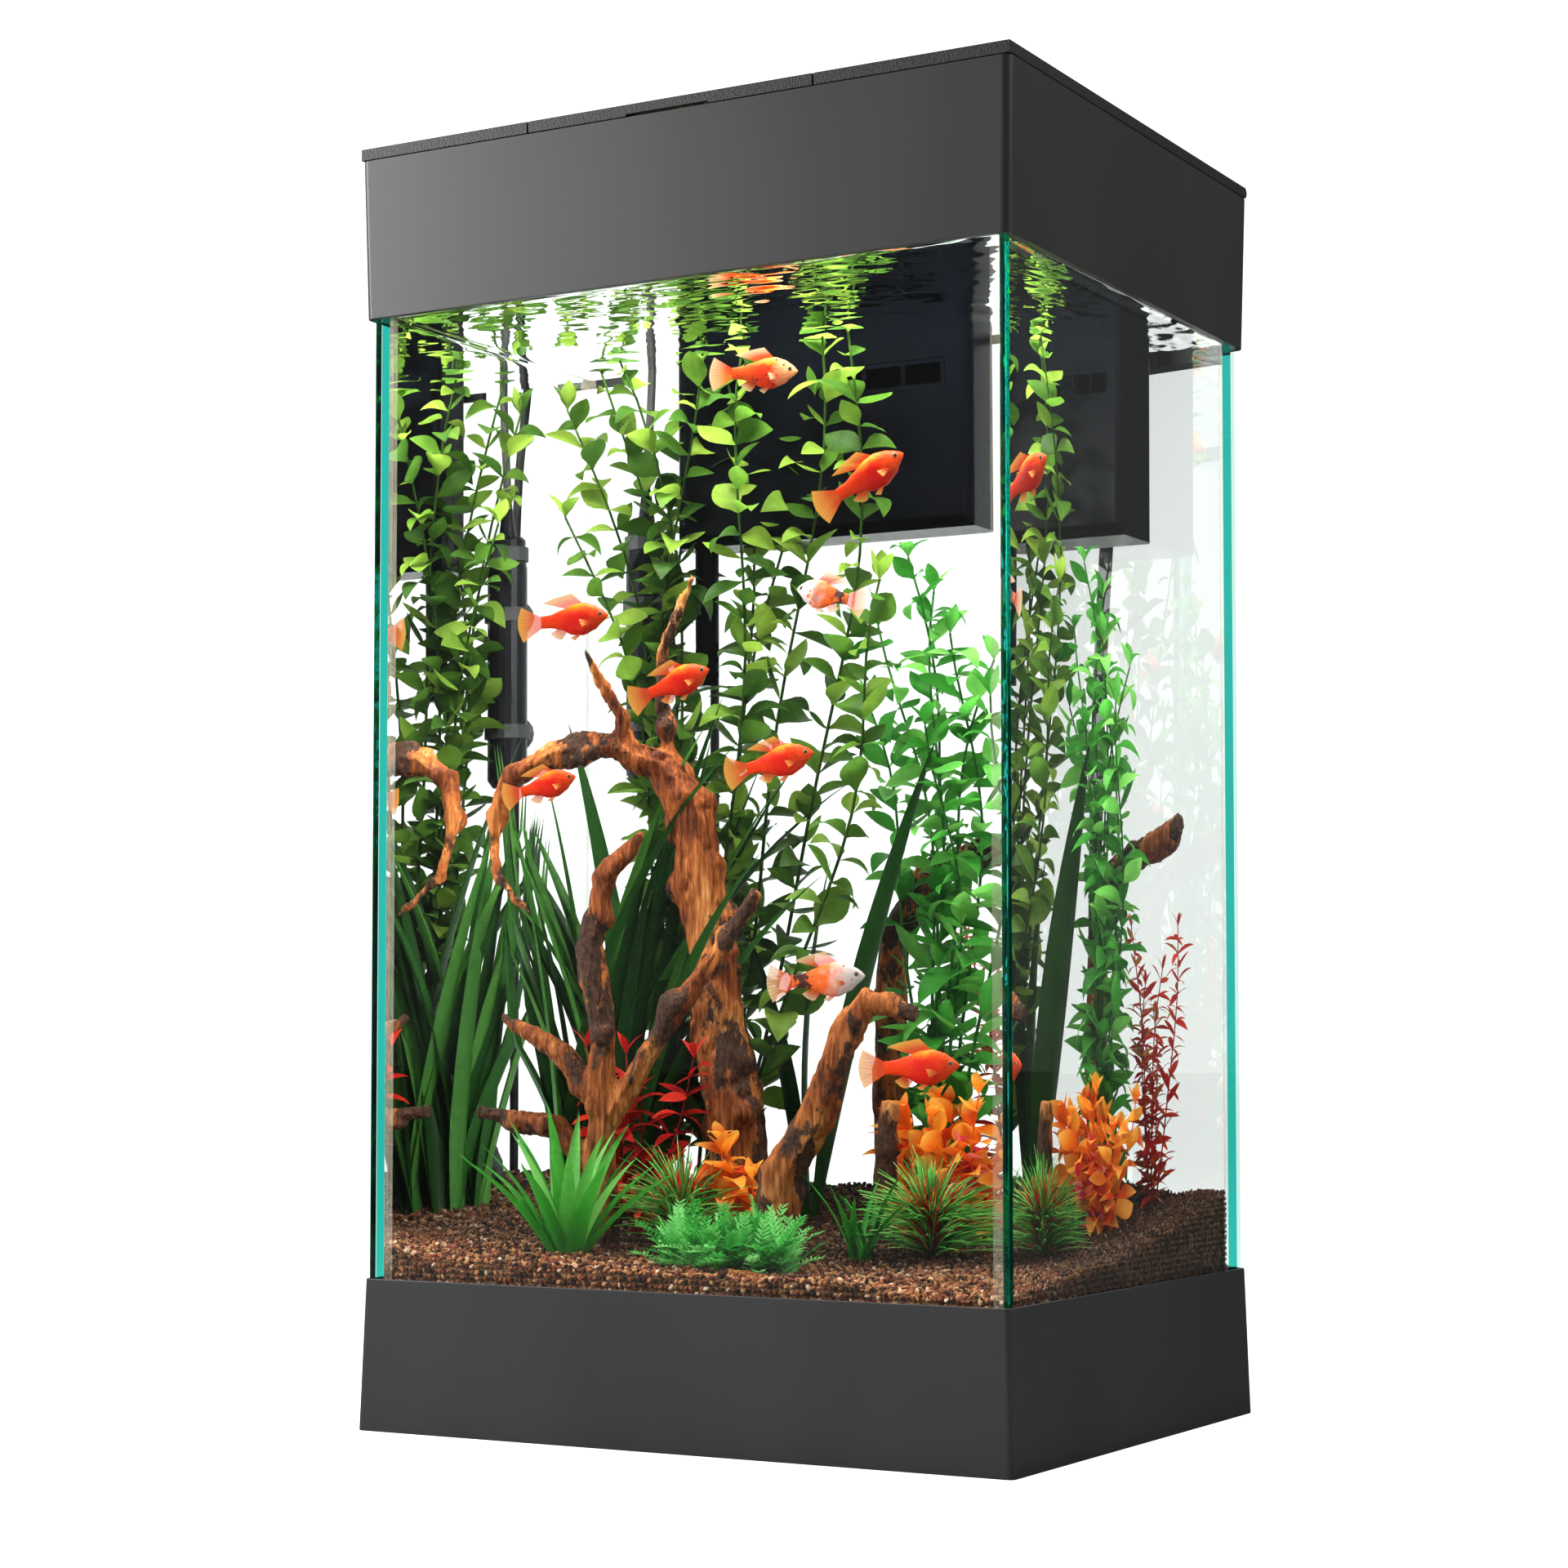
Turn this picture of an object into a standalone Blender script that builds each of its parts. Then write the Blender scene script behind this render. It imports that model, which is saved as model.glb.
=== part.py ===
"""A tall glass aquarium on a black plinth, with its hood, lamp, filter, heater, planting and fish.

Units are metres. The floor is z = 0, the origin is under the middle of the plinth, the front faces -Y
and right is +X. Run it with blender --background --python part.py, or from Blender's text editor.
"""

import math

import bmesh
import bpy
from mathutils import Matrix, Vector

# Clearances
GAP = 0.0003  # between pieces that touch
SLIP = 0.0004  # round the glass, inside the plinth and the hood
RUNNING = 0.0003  # between a pin and its bore
CUT_OVER = 0.01  # how far a cutter runs past the face that it opens

# Tank
GLASS_WIDTH = 0.366
GLASS_DEPTH = 0.291
GLASS_HEIGHT = 0.568
GLASS_THICK = 0.005
FLOOR_GLASS_THICK = 0.006
BEAD_LEG = 0.005  # silicone fillet in each upright corner
BEAD_FLOOR_LEG = 0.004  # and round the bottom pane
BEAD_HOLLOW = 0.38  # how far out the fillet's hollow face comes, as a share of its leg
BEAD_STOP = 0.012  # the fillet ends this far below the rim

# Plinth
PLINTH_HEIGHT = 0.078
PLINTH_FLARE = 0.00225  # how far each foot edge stands out past the top edge
PLINTH_LIP = 0.00185  # wall round the glass at the top edge
PLINTH_WALL = 0.003
PLINTH_RADIUS = 0.0035
PLINTH_LEDGE = 0.014
PLINTH_LEDGE_THICK = 0.0025
DECK_TOP = 0.0317
DECK_PLATE = 0.003
DECK_RIB = 0.003
DECK_RIB_DEPTH = 0.014
DECK_CELLS = (6, 5)

# Hood
HOOD_LAP = 0.0204  # how far the hood reaches down over the glass
HOOD_RISE = 0.0636  # from the glass rim to the top of the hood wall
HOOD_LIP = 0.0037
HOOD_FLARE = 0.0019
HOOD_WALL = 0.003
HOOD_RADIUS = 0.0045
HOOD_LEDGE = 0.012
HOOD_LEDGE_THICK = 0.003
NOTCH_LEFT = 0.022  # the rear notch for the heater's cable, to the left of the heater
NOTCH_RIGHT = 0.030  # and to its right
NOTCH_RISE = 0.0125  # above the glass rim
NOTCH_INTO_LEDGE = 0.004

# Lid, feeding door and lamp
LID_THICK = 0.0061
LID_SKIN = 0.0025
LID_RIM = 0.012
LID_EDGE_ROUND = 0.00168
DOOR_EDGE_ROUND = 0.0014
PIN_RADIUS = 0.0012
LID_LUG_WIDTH = 0.012
LID_LUG_X = 0.125
LID_LUG_ROOT = 0.004  # how far a lug reaches down inside the hood's wall
LID_LUG_PLAY = 0.0007
LID_ROD_LENGTH = 0.290
DOOR_WIDTH = 0.166
DOOR_DEPTH = 0.100
DOOR_ROD_OVER = 0.008  # how far the door's rod reaches into the lid at each side
DOOR_PLAY = 0.0008
FINGER_SIZE = (0.048, 0.006, 0.0012)  # the hollow under the door's front edge
LAMP_SIZE = (0.300, 0.062, 0.014)
LAMP_WALL = 0.002
LAMP_LENS = 0.002
LAMP_LENS_UP = 0.0005  # the lens sits this far inside the case's edge
LAMP_CENTRE_Y = 0.005
LAMP_CORNER = 0.004
LED_STRIP_SIZE = (0.276, 0.024, 0.0016)
SWITCH_SIZE = (0.020, 0.012)
SWITCH_BODY = 0.005  # how deep the rocker goes
SWITCH_HORN = 0.0012  # how far each end of the rocker stands above its middle
SWITCH_DIP = 0.0004
SWITCH_SUNK = 0.0014
SWITCH_Y = 0.098
SWITCH_X = 0.135
INLET_RADIUS = 0.0045
INLET_LENGTH = 0.010
INLET_WALL = 0.0015
INLET_FROM_END = 0.020  # of the lamp's right end
INLET_SUNK = 0.004
INLET_FLOOR = 0.003

# Filter
FILTER_WIDTH = 0.181
FILTER_DEPTH = 0.044
FILTER_HEIGHT = 0.136
FILTER_LEFT = 0.080  # from the inside of the left pane
FILTER_OFF_GLASS = 0.0085
FILTER_TOP = 0.010  # above the glass rim
FILTER_WALL = 0.002
FILTER_RADIUS = 0.007
FILTER_CHAMFER = 0.006  # along the lower front edge
BAY_RADIUS = 0.005
OVERFLOW_SPAN = (0.055, 0.035)  # from the top of the case down to the overflow's foot and head
OVERFLOW_INSET = 0.010
CARTRIDGE_WIDTH = 0.084
CARTRIDGE_PLAY = 0.0015
CARTRIDGE_FOOT = 0.012  # the water under the cassette
CARTRIDGE_DOWN = 0.006  # from the top of the case to the cassette
CARTRIDGE_RADIUS = 0.004
TAB_SIZE = (0.024, 0.003, 0.012)
TAB_ROOT = 0.002
GRILLE_SIZE = (0.073, 0.016)
GRILLE_FROM_BAY = 0.002
GRILLE_DOWN = 0.043  # from the glass rim to the middle of the grille
GRILLE_SUNK = 0.0002
GRILLE_SLOTS = 3
GRILLE_BAR = 0.0022
PUMP_SIZE = (0.034, 0.030, 0.052)
PUMP_FROM_BAY = 0.010
PUMP_RADIUS = 0.004
PUMP_INLET = (0.0045, 0.016)
PUMP_SPOUT_RADIUS = 0.0035
CHAMBER_PLAY = 0.001
CHAMBER_FOOT = 0.004
IMPELLER_RADIUS = 0.0085
IMPELLER_LENGTH = 0.016
IMPELLER_HUB = 0.0035
IMPELLER_VANE = (0.0005, 0.0012, 0.002)  # short of the radius, thick, and short of each end
INTAKE_RADIUS = 0.007
INTAKE_WALL = 0.0018
INTAKE_LENGTH = 0.082
INTAKE_IN_CASE = 0.004
INTAKE_FROM_LEFT = 0.011
STRAINER_PITCH = 0.008
STRAINER_SLOT = (0.006, 0.003)
STRAINER_ROWS = 3
CUP_RADIUS = 0.0095
BRACKET_THICK = 0.002
BRACKET_INSET = (0.010, 0.012, 0.018)  # from the case's sides, its foot and the glass rim
BRACKET_CUP_INSET = 0.014

# Heater
HEATER_RADIUS = 0.0125
HEATER_LENGTH = 0.130
HEATER_TOP_DEPTH = 0.125  # of the sleeve's top, under the glass rim
HEATER_FROM_LEFT = 0.047
HEATER_OFF_GLASS = 0.0195
HEATER_ROUND = 0.006
NECK_HEIGHT = 0.003
NECK_RADIUS = 0.006875
HEAD_HEIGHT = 0.006
DIAL_HEIGHT = 0.008
DIAL_PROUD = 0.0008
BOOT_HEIGHT = 0.020
CLIP_WALL = 0.0016
CLIP_HEIGHT = 0.008
CLIP_DOWN = 0.028  # from the top of the sleeve to the upper clip
CLIP_UP = 0.034  # from the foot of the sleeve to the lower clip
SPINE_WIDTH = 0.008

# Heater cable
CABLE_RADIUS = 0.0025
CABLE_STEP = 0.013  # between the points of the cable's tube
COIL_TURNS_WIDE = 3
COIL_LAYERS = 2
COIL_MEAN_RADIUS = 0.0305
PLUG_SIZE = (0.040, 0.026, 0.015)
PLUG_FROM_COIL = 0.010  # from the coil's middle to the end of the plug's boot
PLUG_RADIUS = 0.004
PLUG_EDGE = 0.0015
PLUG_BOOT = (0.022, 0.006, 0.0035)  # long, and its radius at the plug and at the cable
PLUG_PIN = (0.018, 0.002)
PLUG_PIN_APART = 0.013
PLUG_PIN_ROOT = 0.002

# Gravel, higher at the back than at the front
GRAVEL_FRONT = 0.0865
GRAVEL_FALL = 0.0253  # metres down for each metre to the right
GRAVEL_CLIMB = 0.037
GRAVEL_CURVE = 1.6
GRAVEL_CELLS = (10, 8)
POCKET_CUT = 0.1
BEDDING = 0.010  # how deep a base sits in the gravel
BEDDING_PLAY = 0.0006
FOOT_ABOVE = 0.006  # how far a foot stays straight above the gravel

# The planting plan is drawn on this bed, and stretched to the bed that the tank gives
PLAN_WIDTH = 0.356
PLAN_FRONT = 0.1405
PLAN_OPEN_DEPTH = 0.2285
PLAN_RIM_Z = 0.6
ROCK_SIZE = (0.018, 0.013, 0.022)

# Heights and half sizes that follow from the values above
RIM_Z = DECK_TOP + GAP + GLASS_HEIGHT
TANK_FLOOR_Z = DECK_TOP + GAP + FLOOR_GLASS_THICK
HALF_W = GLASS_WIDTH / 2
HALF_D = GLASS_DEPTH / 2
INNER_W = HALF_W - GLASS_THICK
INNER_D = HALF_D - GLASS_THICK
HOOD_FOOT_Z = RIM_Z - HOOD_LAP
HOOD_TOP_Z = RIM_Z + HOOD_RISE
HOOD_TOP_W = HALF_W + SLIP + HOOD_LIP + HOOD_FLARE
HOOD_TOP_D = HALF_D + SLIP + HOOD_LIP + HOOD_FLARE
LID_Z = HOOD_TOP_Z + GAP
LID_TOP_Z = LID_Z + LID_THICK
HINGE_RADIUS = LID_THICK / 2
HINGE_Z = LID_Z + HINGE_RADIUS
LID_HINGE_Y = HOOD_TOP_D - HINGE_RADIUS
DOOR_HINGE_Y = -HOOD_TOP_D + DOOR_DEPTH - HINGE_RADIUS
FILTER_LOW = Vector(
    (
        -INNER_W + FILTER_LEFT,
        INNER_D - FILTER_OFF_GLASS - FILTER_DEPTH,
        RIM_Z + FILTER_TOP - FILTER_HEIGHT,
    )
)
FILTER_HIGH = FILTER_LOW + Vector((FILTER_WIDTH, FILTER_DEPTH, FILTER_HEIGHT))
BAY_WALL_X = FILTER_LOW.x + FILTER_WALL + CARTRIDGE_WIDTH + 2 * CARTRIDGE_PLAY
HEATER_X = -INNER_W + HEATER_FROM_LEFT
HEATER_Y = INNER_D - HEATER_OFF_GLASS
HEATER_TOP_Z = RIM_Z - HEATER_TOP_DEPTH

scene = bpy.context.scene
for old in list(bpy.data.objects):
    bpy.data.objects.remove(old, do_unlink=True)


def new_collection(name):
    made = bpy.data.collections.new(name)
    scene.collection.children.link(made)
    return made


PARTS = new_collection("aquarium_on_stand")
CUTTERS = new_collection("cutters")


# Materials


def material(name, colour, roughness, metallic=0.0, clear=0.0):
    made = bpy.data.materials.new(name)
    made.use_nodes = True
    shader = made.node_tree.nodes["Principled BSDF"]
    shader.inputs["Base Color"].default_value = (*colour, 1)
    shader.inputs["Roughness"].default_value = roughness
    shader.inputs["Metallic"].default_value = metallic
    shader.inputs["Transmission Weight"].default_value = clear
    made.diffuse_color = (*colour, 1)
    return made


BLACK = material("satin_black_plastic", (0.045, 0.046, 0.048), 0.42)
LID_BLACK = material("grained_black_plastic", (0.03, 0.031, 0.033), 0.6)
GLASS = material("green_edged_glass", (0.85, 0.96, 0.93), 0.02, clear=0.9)
SILICONE = material("clear_silicone", (0.72, 0.74, 0.70), 0.35)
GRAVEL = material("mixed_gravel", (0.36, 0.20, 0.12), 0.85)
WOOD = material("driftwood", (0.36, 0.17, 0.07), 0.75)
ROCK = material("dark_rock", (0.06, 0.07, 0.07), 0.8)
FILTER_BLACK = material("filter_plastic", (0.02, 0.024, 0.03), 0.35)
FOAM = material("blue_filter_foam", (0.08, 0.22, 0.42), 0.9)
STEEL = material("pin_steel", (0.6, 0.6, 0.6), 0.3, metallic=1)
LENS = material("lamp_lens", (0.9, 0.92, 0.95), 0.2, clear=0.6)
LED_BOARD = material("led_board", (0.9, 0.9, 0.85), 0.4)
HEATER_BLACK = material("heater_sleeve", (0.02, 0.02, 0.022), 0.25)
RUBBER = material("black_rubber", (0.02, 0.02, 0.02), 0.7)
LEAF_GREEN = material("leaf_green", (0.10, 0.30, 0.05), 0.5)
DEEP_GREEN = material("blade_green", (0.04, 0.16, 0.04), 0.5)
BRIGHT_GREEN = material("fern_green", (0.12, 0.55, 0.12), 0.5)
LEAF_RED = material("leaf_red", (0.62, 0.06, 0.05), 0.5)
LEAF_ORANGE = material("leaf_orange", (0.85, 0.32, 0.05), 0.5)
FISH_RED = material("fish_red", (0.85, 0.12, 0.03), 0.4)
FISH_WHITE = material("fish_white", (0.80, 0.62, 0.52), 0.4)


# Building helpers


def as_part(made, name, finish):
    """Names an object and its material as a sub-part."""
    made.name = name
    made.data.name = name
    made.data.materials.clear()
    made.data.materials.append(finish)
    PARTS.objects.link(made)
    return made


def as_cutter(made):
    made.display_type = "WIRE"
    made.hide_render = True
    CUTTERS.objects.link(made)
    return made


def mesh_object(name, shape):
    """An object that holds a finished bmesh."""
    mesh = bpy.data.meshes.new(name)
    shape.to_mesh(mesh)
    shape.free()
    return bpy.data.objects.new(name, mesh)


def round_shading(made, degrees=35):
    made.data.shade_smooth()
    made.data.set_sharp_from_angle(angle=math.radians(degrees))
    return made


def block(low, high, upright_radius=0.0, taper=(0.0, 0.0), steps=3):
    """A box from corner to corner, whose foot stands out by taper on each side, with round uprights."""
    low, high = Vector(low), Vector(high)
    shape = bmesh.new()
    bmesh.ops.create_cube(shape, size=1)
    middle, size = (low + high) / 2, high - low
    for vert in shape.verts:
        at_foot = vert.co.z < 0
        vert.co = Vector(vert.co[i] * size[i] for i in range(3))
        if at_foot:
            vert.co.x += taper[0] * math.copysign(1, vert.co.x)
            vert.co.y += taper[1] * math.copysign(1, vert.co.y)
    if upright_radius:
        uprights = [e for e in shape.edges if (e.verts[0].co.z < 0) != (e.verts[1].co.z < 0)]
        bmesh.ops.bevel(
            shape, geom=uprights, offset=upright_radius, segments=steps, profile=0.5, affect="EDGES"
        )
    made = mesh_object("block", shape)
    made.location = middle
    return made


def cylinder(centre, radius, length, along="Z", sides=16, top_radius=None):
    """A cylinder or a cone frustum whose middle is at centre."""
    shape = bmesh.new()
    bmesh.ops.create_cone(
        shape,
        cap_ends=True,
        segments=sides,
        radius1=radius,
        radius2=radius if top_radius is None else top_radius,
        depth=length,
    )
    made = round_shading(mesh_object("cylinder", shape))
    made.location = centre
    made.rotation_euler = {"X": (0, math.pi / 2, 0), "Y": (math.pi / 2, 0, 0), "Z": (0, 0, 0)}[along]
    return made


def turned(profile, centre, sides=20):
    """A solid of revolution about Z: profile is (radius, height) pairs from the top down the outside."""
    shape = bmesh.new()
    verts = [shape.verts.new((radius, 0, height)) for radius, height in profile]
    for upper, lower in zip(verts, verts[1:]):
        shape.edges.new((upper, lower))
    made = mesh_object("turned", shape)
    made.location = centre
    screw = made.modifiers.new("turn", "SCREW")
    screw.steps = sides
    screw.render_steps = sides
    screw.use_merge_vertices = True
    screw.merge_threshold = 0.00001
    return as_mesh(made)


def outline_solid(points, thickness, centre, rotation=(0, 0, 0)):
    """A flat outline given by its corners, thickened equally to both sides."""
    curve = bpy.data.curves.new("outline", "CURVE")
    curve.dimensions = "2D"
    curve.fill_mode = "BOTH"
    curve.extrude = thickness / 2
    spline = curve.splines.new("POLY")
    spline.points.add(len(points) - 1)
    for point, (x, y) in zip(spline.points, points):
        point.co = (x, y, 0, 1)
    spline.use_cyclic_u = True
    made = bpy.data.objects.new("outline", curve)
    made.location = centre
    made.rotation_euler = rotation
    return made


def tube(points, radii, resolution=1):
    """A round bar through points, with one radius for each point."""
    curve = bpy.data.curves.new("tube", "CURVE")
    curve.dimensions = "3D"
    curve.bevel_depth = 1
    curve.bevel_resolution = resolution
    curve.use_fill_caps = True
    spline = curve.splines.new("POLY")
    spline.points.add(len(points) - 1)
    for point, place, radius in zip(spline.points, points, radii):
        point.co = (*place, 1)
        point.radius = radius
    return bpy.data.objects.new("tube", curve)


def as_mesh(made):
    """Turns a curve or a turned profile into a closed mesh object in the same place."""
    scene.collection.objects.link(made)
    bpy.context.view_layer.update()
    graph = bpy.context.evaluated_depsgraph_get()
    mesh = bpy.data.meshes.new_from_object(made.evaluated_get(graph))
    shape = bmesh.new()
    shape.from_mesh(mesh)
    bmesh.ops.remove_doubles(shape, verts=shape.verts, dist=0.00001)
    shape.to_mesh(mesh)
    shape.free()
    solid = round_shading(bpy.data.objects.new(made.name, mesh))
    solid.matrix_world = made.matrix_world.copy()
    bpy.data.objects.remove(made)
    return solid


def boolean(target, other, operation):
    modifier = target.modifiers.new(operation.lower(), "BOOLEAN")
    modifier.operation = operation
    modifier.solver = "EXACT"
    modifier.object = as_cutter(other)
    return target


def cut(target, *others):
    for other in others:
        boolean(target, other, "DIFFERENCE")
    return target


def join(target, *others):
    for other in others:
        boolean(target, other, "UNION")
    return target


def gathered(solids):
    """Several separate solids as one cutter, each already in its place."""
    shape = bmesh.new()
    for solid in solids:
        scene.collection.objects.link(solid)
    bpy.context.view_layer.update()
    graph = bpy.context.evaluated_depsgraph_get()
    for solid in solids:
        mesh = bpy.data.meshes.new_from_object(solid.evaluated_get(graph))
        mesh.transform(solid.matrix_world)
        shape.from_mesh(mesh)
        bpy.data.meshes.remove(mesh)
    for solid in solids:
        bpy.data.objects.remove(solid)
    return mesh_object("gathered", shape)


def pivot_at(made, place):
    """Moves a mesh object's origin to a joint axis without moving its shape."""
    made.data.transform(Matrix.Translation(-Vector(place)) @ made.matrix_basis)
    made.matrix_basis = Matrix.Translation(place)
    return made


def smooth_route(points, spacing):
    """Evenly spaced points along a smooth curve through the route's own points."""
    route = [Vector(p) for p in points]
    ends = [2 * route[0] - route[1], *route, 2 * route[-1] - route[-2]]
    fine = []
    for before, here, there, after in zip(ends, ends[1:], ends[2:], ends[3:]):
        for step in range(24):
            t = step / 24
            fine.append(
                (
                    2 * here
                    + (there - before) * t
                    + (2 * before - 5 * here + 4 * there - after) * t * t
                    + (3 * here - before - 3 * there + after) * t * t * t
                )
                / 2
            )
    fine.append(route[-1])
    travelled = [0.0]
    for a, b in zip(fine, fine[1:]):
        travelled.append(travelled[-1] + (b - a).length)
    count = round(travelled[-1] / spacing)
    even, place = [], 0
    for i in range(count + 1):
        wanted = travelled[-1] * i / count
        while place < len(fine) - 2 and travelled[place + 1] < wanted:
            place += 1
        share = (wanted - travelled[place]) / (travelled[place + 1] - travelled[place])
        even.append(fine[place].lerp(fine[place + 1], share))
    return even


# Plinth


def plinth():
    top = (HALF_W + SLIP + PLINTH_LIP, HALF_D + SLIP + PLINTH_LIP)
    ledge_z = DECK_TOP - DECK_PLATE - GAP
    skirt = block(
        (-top[0], -top[1], 0),
        (top[0], top[1], PLINTH_HEIGHT),
        PLINTH_RADIUS,
        (PLINTH_FLARE, PLINTH_FLARE),
    )
    pocket = block(
        (-HALF_W - SLIP, -HALF_D - SLIP, ledge_z),
        (HALF_W + SLIP, HALF_D + SLIP, PLINTH_HEIGHT + CUT_OVER),
    )
    well_w, well_d = HALF_W - PLINTH_LEDGE, HALF_D - PLINTH_LEDGE
    well = block((-well_w, -well_d, -CUT_OVER), (well_w, well_d, ledge_z + CUT_OVER))
    under_w = top[0] + PLINTH_FLARE / 2 - PLINTH_WALL
    under_d = top[1] + PLINTH_FLARE / 2 - PLINTH_WALL
    hollow = block(
        (-under_w, -under_d, PLINTH_LEDGE_THICK), (under_w, under_d, ledge_z - PLINTH_LEDGE_THICK)
    )
    cut(skirt, pocket, well, hollow)
    as_part(skirt, "stand_skirt", BLACK)

    plate_w, plate_d = HALF_W - GAP, HALF_D - GAP
    deck = block((-plate_w, -plate_d, DECK_TOP - DECK_PLATE), (plate_w, plate_d, DECK_TOP))
    rib_w, rib_d = well_w - SLIP, well_d - SLIP
    rib_foot = DECK_TOP - DECK_PLATE - DECK_RIB_DEPTH
    grid = block((-rib_w, -rib_d, rib_foot), (rib_w, rib_d, DECK_TOP - DECK_PLATE / 2))
    join(deck, grid)
    columns, rows = DECK_CELLS
    cell_w = (2 * rib_w - (columns + 1) * DECK_RIB) / columns
    cell_d = (2 * rib_d - (rows + 1) * DECK_RIB) / rows
    cells = []
    for column in range(columns):
        for row in range(rows):
            x = -rib_w + DECK_RIB + column * (cell_w + DECK_RIB)
            y = -rib_d + DECK_RIB + row * (cell_d + DECK_RIB)
            far_corner = (x + cell_w, y + cell_d, DECK_TOP - DECK_PLATE)
            cells.append(block((x, y, rib_foot - CUT_OVER), far_corner))
    cut(deck, gathered(cells))
    as_part(deck, "stand_deck", BLACK)


# Tank


def tank():
    foot = DECK_TOP + GAP
    for name, side in (("glass_front", -1), ("glass_back", 1)):
        outer, inner = side * HALF_D, side * INNER_D
        low_y, high_y = min(outer, inner), max(outer, inner)
        as_part(block((-HALF_W, low_y, foot), (HALF_W, high_y, RIM_Z)), name, GLASS)
    for name, side in (("glass_left", -1), ("glass_right", 1)):
        outer, inner = side * HALF_W, side * INNER_W
        low_x, high_x = min(outer, inner), max(outer, inner)
        reach = INNER_D - GAP
        as_part(block((low_x, -reach, foot), (high_x, reach, RIM_Z)), name, GLASS)
    floor_w, floor_d = INNER_W - GAP, INNER_D - GAP
    as_part(block((-floor_w, -floor_d, foot), (floor_w, floor_d, TANK_FLOOR_Z)), "glass_bottom", GLASS)
    seal_z = TANK_FLOOR_Z + GAP
    seal = block((-floor_w, -floor_d, seal_z), (floor_w, floor_d, seal_z + BEAD_FLOOR_LEG))
    inside_w, inside_d = floor_w - BEAD_FLOOR_LEG, floor_d - BEAD_FLOOR_LEG
    inside = block(
        (-inside_w, -inside_d, seal_z - CUT_OVER), (inside_w, inside_d, seal_z + CUT_OVER)
    )
    cut(seal, inside)
    height = RIM_Z - BEAD_STOP - seal_z
    hollow = BEAD_LEG * BEAD_HOLLOW
    corner = [(0, 0), (BEAD_LEG, 0), (hollow, hollow), (0, BEAD_LEG)]
    for side_x in (-1, 1):
        for side_y in (-1, 1):
            outline = [(-side_x * x, -side_y * y) for x, y in corner]
            if side_x * side_y < 0:
                outline.reverse()
            place = (side_x * floor_w, side_y * floor_d, seal_z + height / 2)
            join(seal, as_mesh(outline_solid(outline, height, place)))
    as_part(seal, "silicone_seal", SILICONE)


def gravel_height(x, y):
    """The gravel's surface, which climbs ever faster from the front pane to the back."""
    share = min(max((y + INNER_D) / (2 * INNER_D), 0), 1)
    return GRAVEL_FRONT - GRAVEL_FALL * x + GRAVEL_CLIMB * share**GRAVEL_CURVE


def gravel(pockets):
    """The gravel bed, with a round pocket for each base that is bedded in it."""
    reach_x, reach_y = INNER_W - GAP - BEAD_LEG, INNER_D - GAP - BEAD_LEG
    columns, rows = GRAVEL_CELLS
    shape = bmesh.new()
    bmesh.ops.create_grid(shape, x_segments=columns, y_segments=rows, size=1)
    for vert in shape.verts:
        vert.co.x *= reach_x
        vert.co.y *= reach_y
        vert.co.z = gravel_height(vert.co.x, vert.co.y)
    sides = bmesh.ops.extrude_face_region(shape, geom=shape.faces[:])
    for vert in (item for item in sides["geom"] if isinstance(item, bmesh.types.BMVert)):
        vert.co.z = TANK_FLOOR_Z + GAP
    bmesh.ops.recalc_face_normals(shape, faces=shape.faces[:])
    bed = mesh_object("bed", shape)
    for x, y, radius in pockets:
        foot_z = gravel_height(x, y) - BEDDING - GAP
        middle = (x, y, foot_z + POCKET_CUT / 2)
        cut(bed, cylinder(middle, radius + BEDDING_PLAY, POCKET_CUT, sides=12))
    as_part(bed, "gravel_bed", GRAVEL)


# Hood, lid, feeding door and lamp


def hinge_rod(y, length, radius=PIN_RADIUS):
    return cylinder((0, y, HINGE_Z), radius, length, along="X", sides=12)


def hinge_bore(y, length):
    return hinge_rod(y, length + 0.001, PIN_RADIUS + RUNNING)


def hood():
    top_w, top_d = HOOD_TOP_W, HOOD_TOP_D
    skirt = block(
        (-top_w, -top_d, HOOD_FOOT_Z),
        (top_w, top_d, HOOD_TOP_Z),
        HOOD_RADIUS,
        (-HOOD_FLARE, -HOOD_FLARE),
    )
    ledge_z = RIM_Z + GAP
    slot_w, slot_d = HALF_W + SLIP, HALF_D + SLIP
    glass_slot = block((-slot_w, -slot_d, HOOD_FOOT_Z - CUT_OVER), (slot_w, slot_d, ledge_z))
    room_w, room_d = top_w - HOOD_WALL - HOOD_FLARE, top_d - HOOD_WALL - HOOD_FLARE
    room = block(
        (-room_w, -room_d, ledge_z + HOOD_LEDGE_THICK), (room_w, room_d, HOOD_TOP_Z + CUT_OVER)
    )
    way_w, way_d = HALF_W - HOOD_LEDGE, HALF_D - HOOD_LEDGE
    way = block((-way_w, -way_d, ledge_z - CUT_OVER), (way_w, way_d, ledge_z + 2 * CUT_OVER))
    notch = block(
        (HEATER_X - NOTCH_LEFT, way_d - NOTCH_INTO_LEDGE, HOOD_FOOT_Z - CUT_OVER),
        (HEATER_X + NOTCH_RIGHT, top_d + CUT_OVER, RIM_Z + NOTCH_RISE),
    )
    cut(skirt, glass_slot, room, way, notch)
    for side in (-1, 1):
        join(skirt, lug_solid(side * LID_LUG_X))
    cut(skirt, hinge_bore(LID_HINGE_Y, LID_ROD_LENGTH))
    as_part(skirt, "hood_skirt", BLACK)
    as_part(hinge_rod(LID_HINGE_Y, LID_ROD_LENGTH), "lid_hinge_rod", STEEL)


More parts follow.
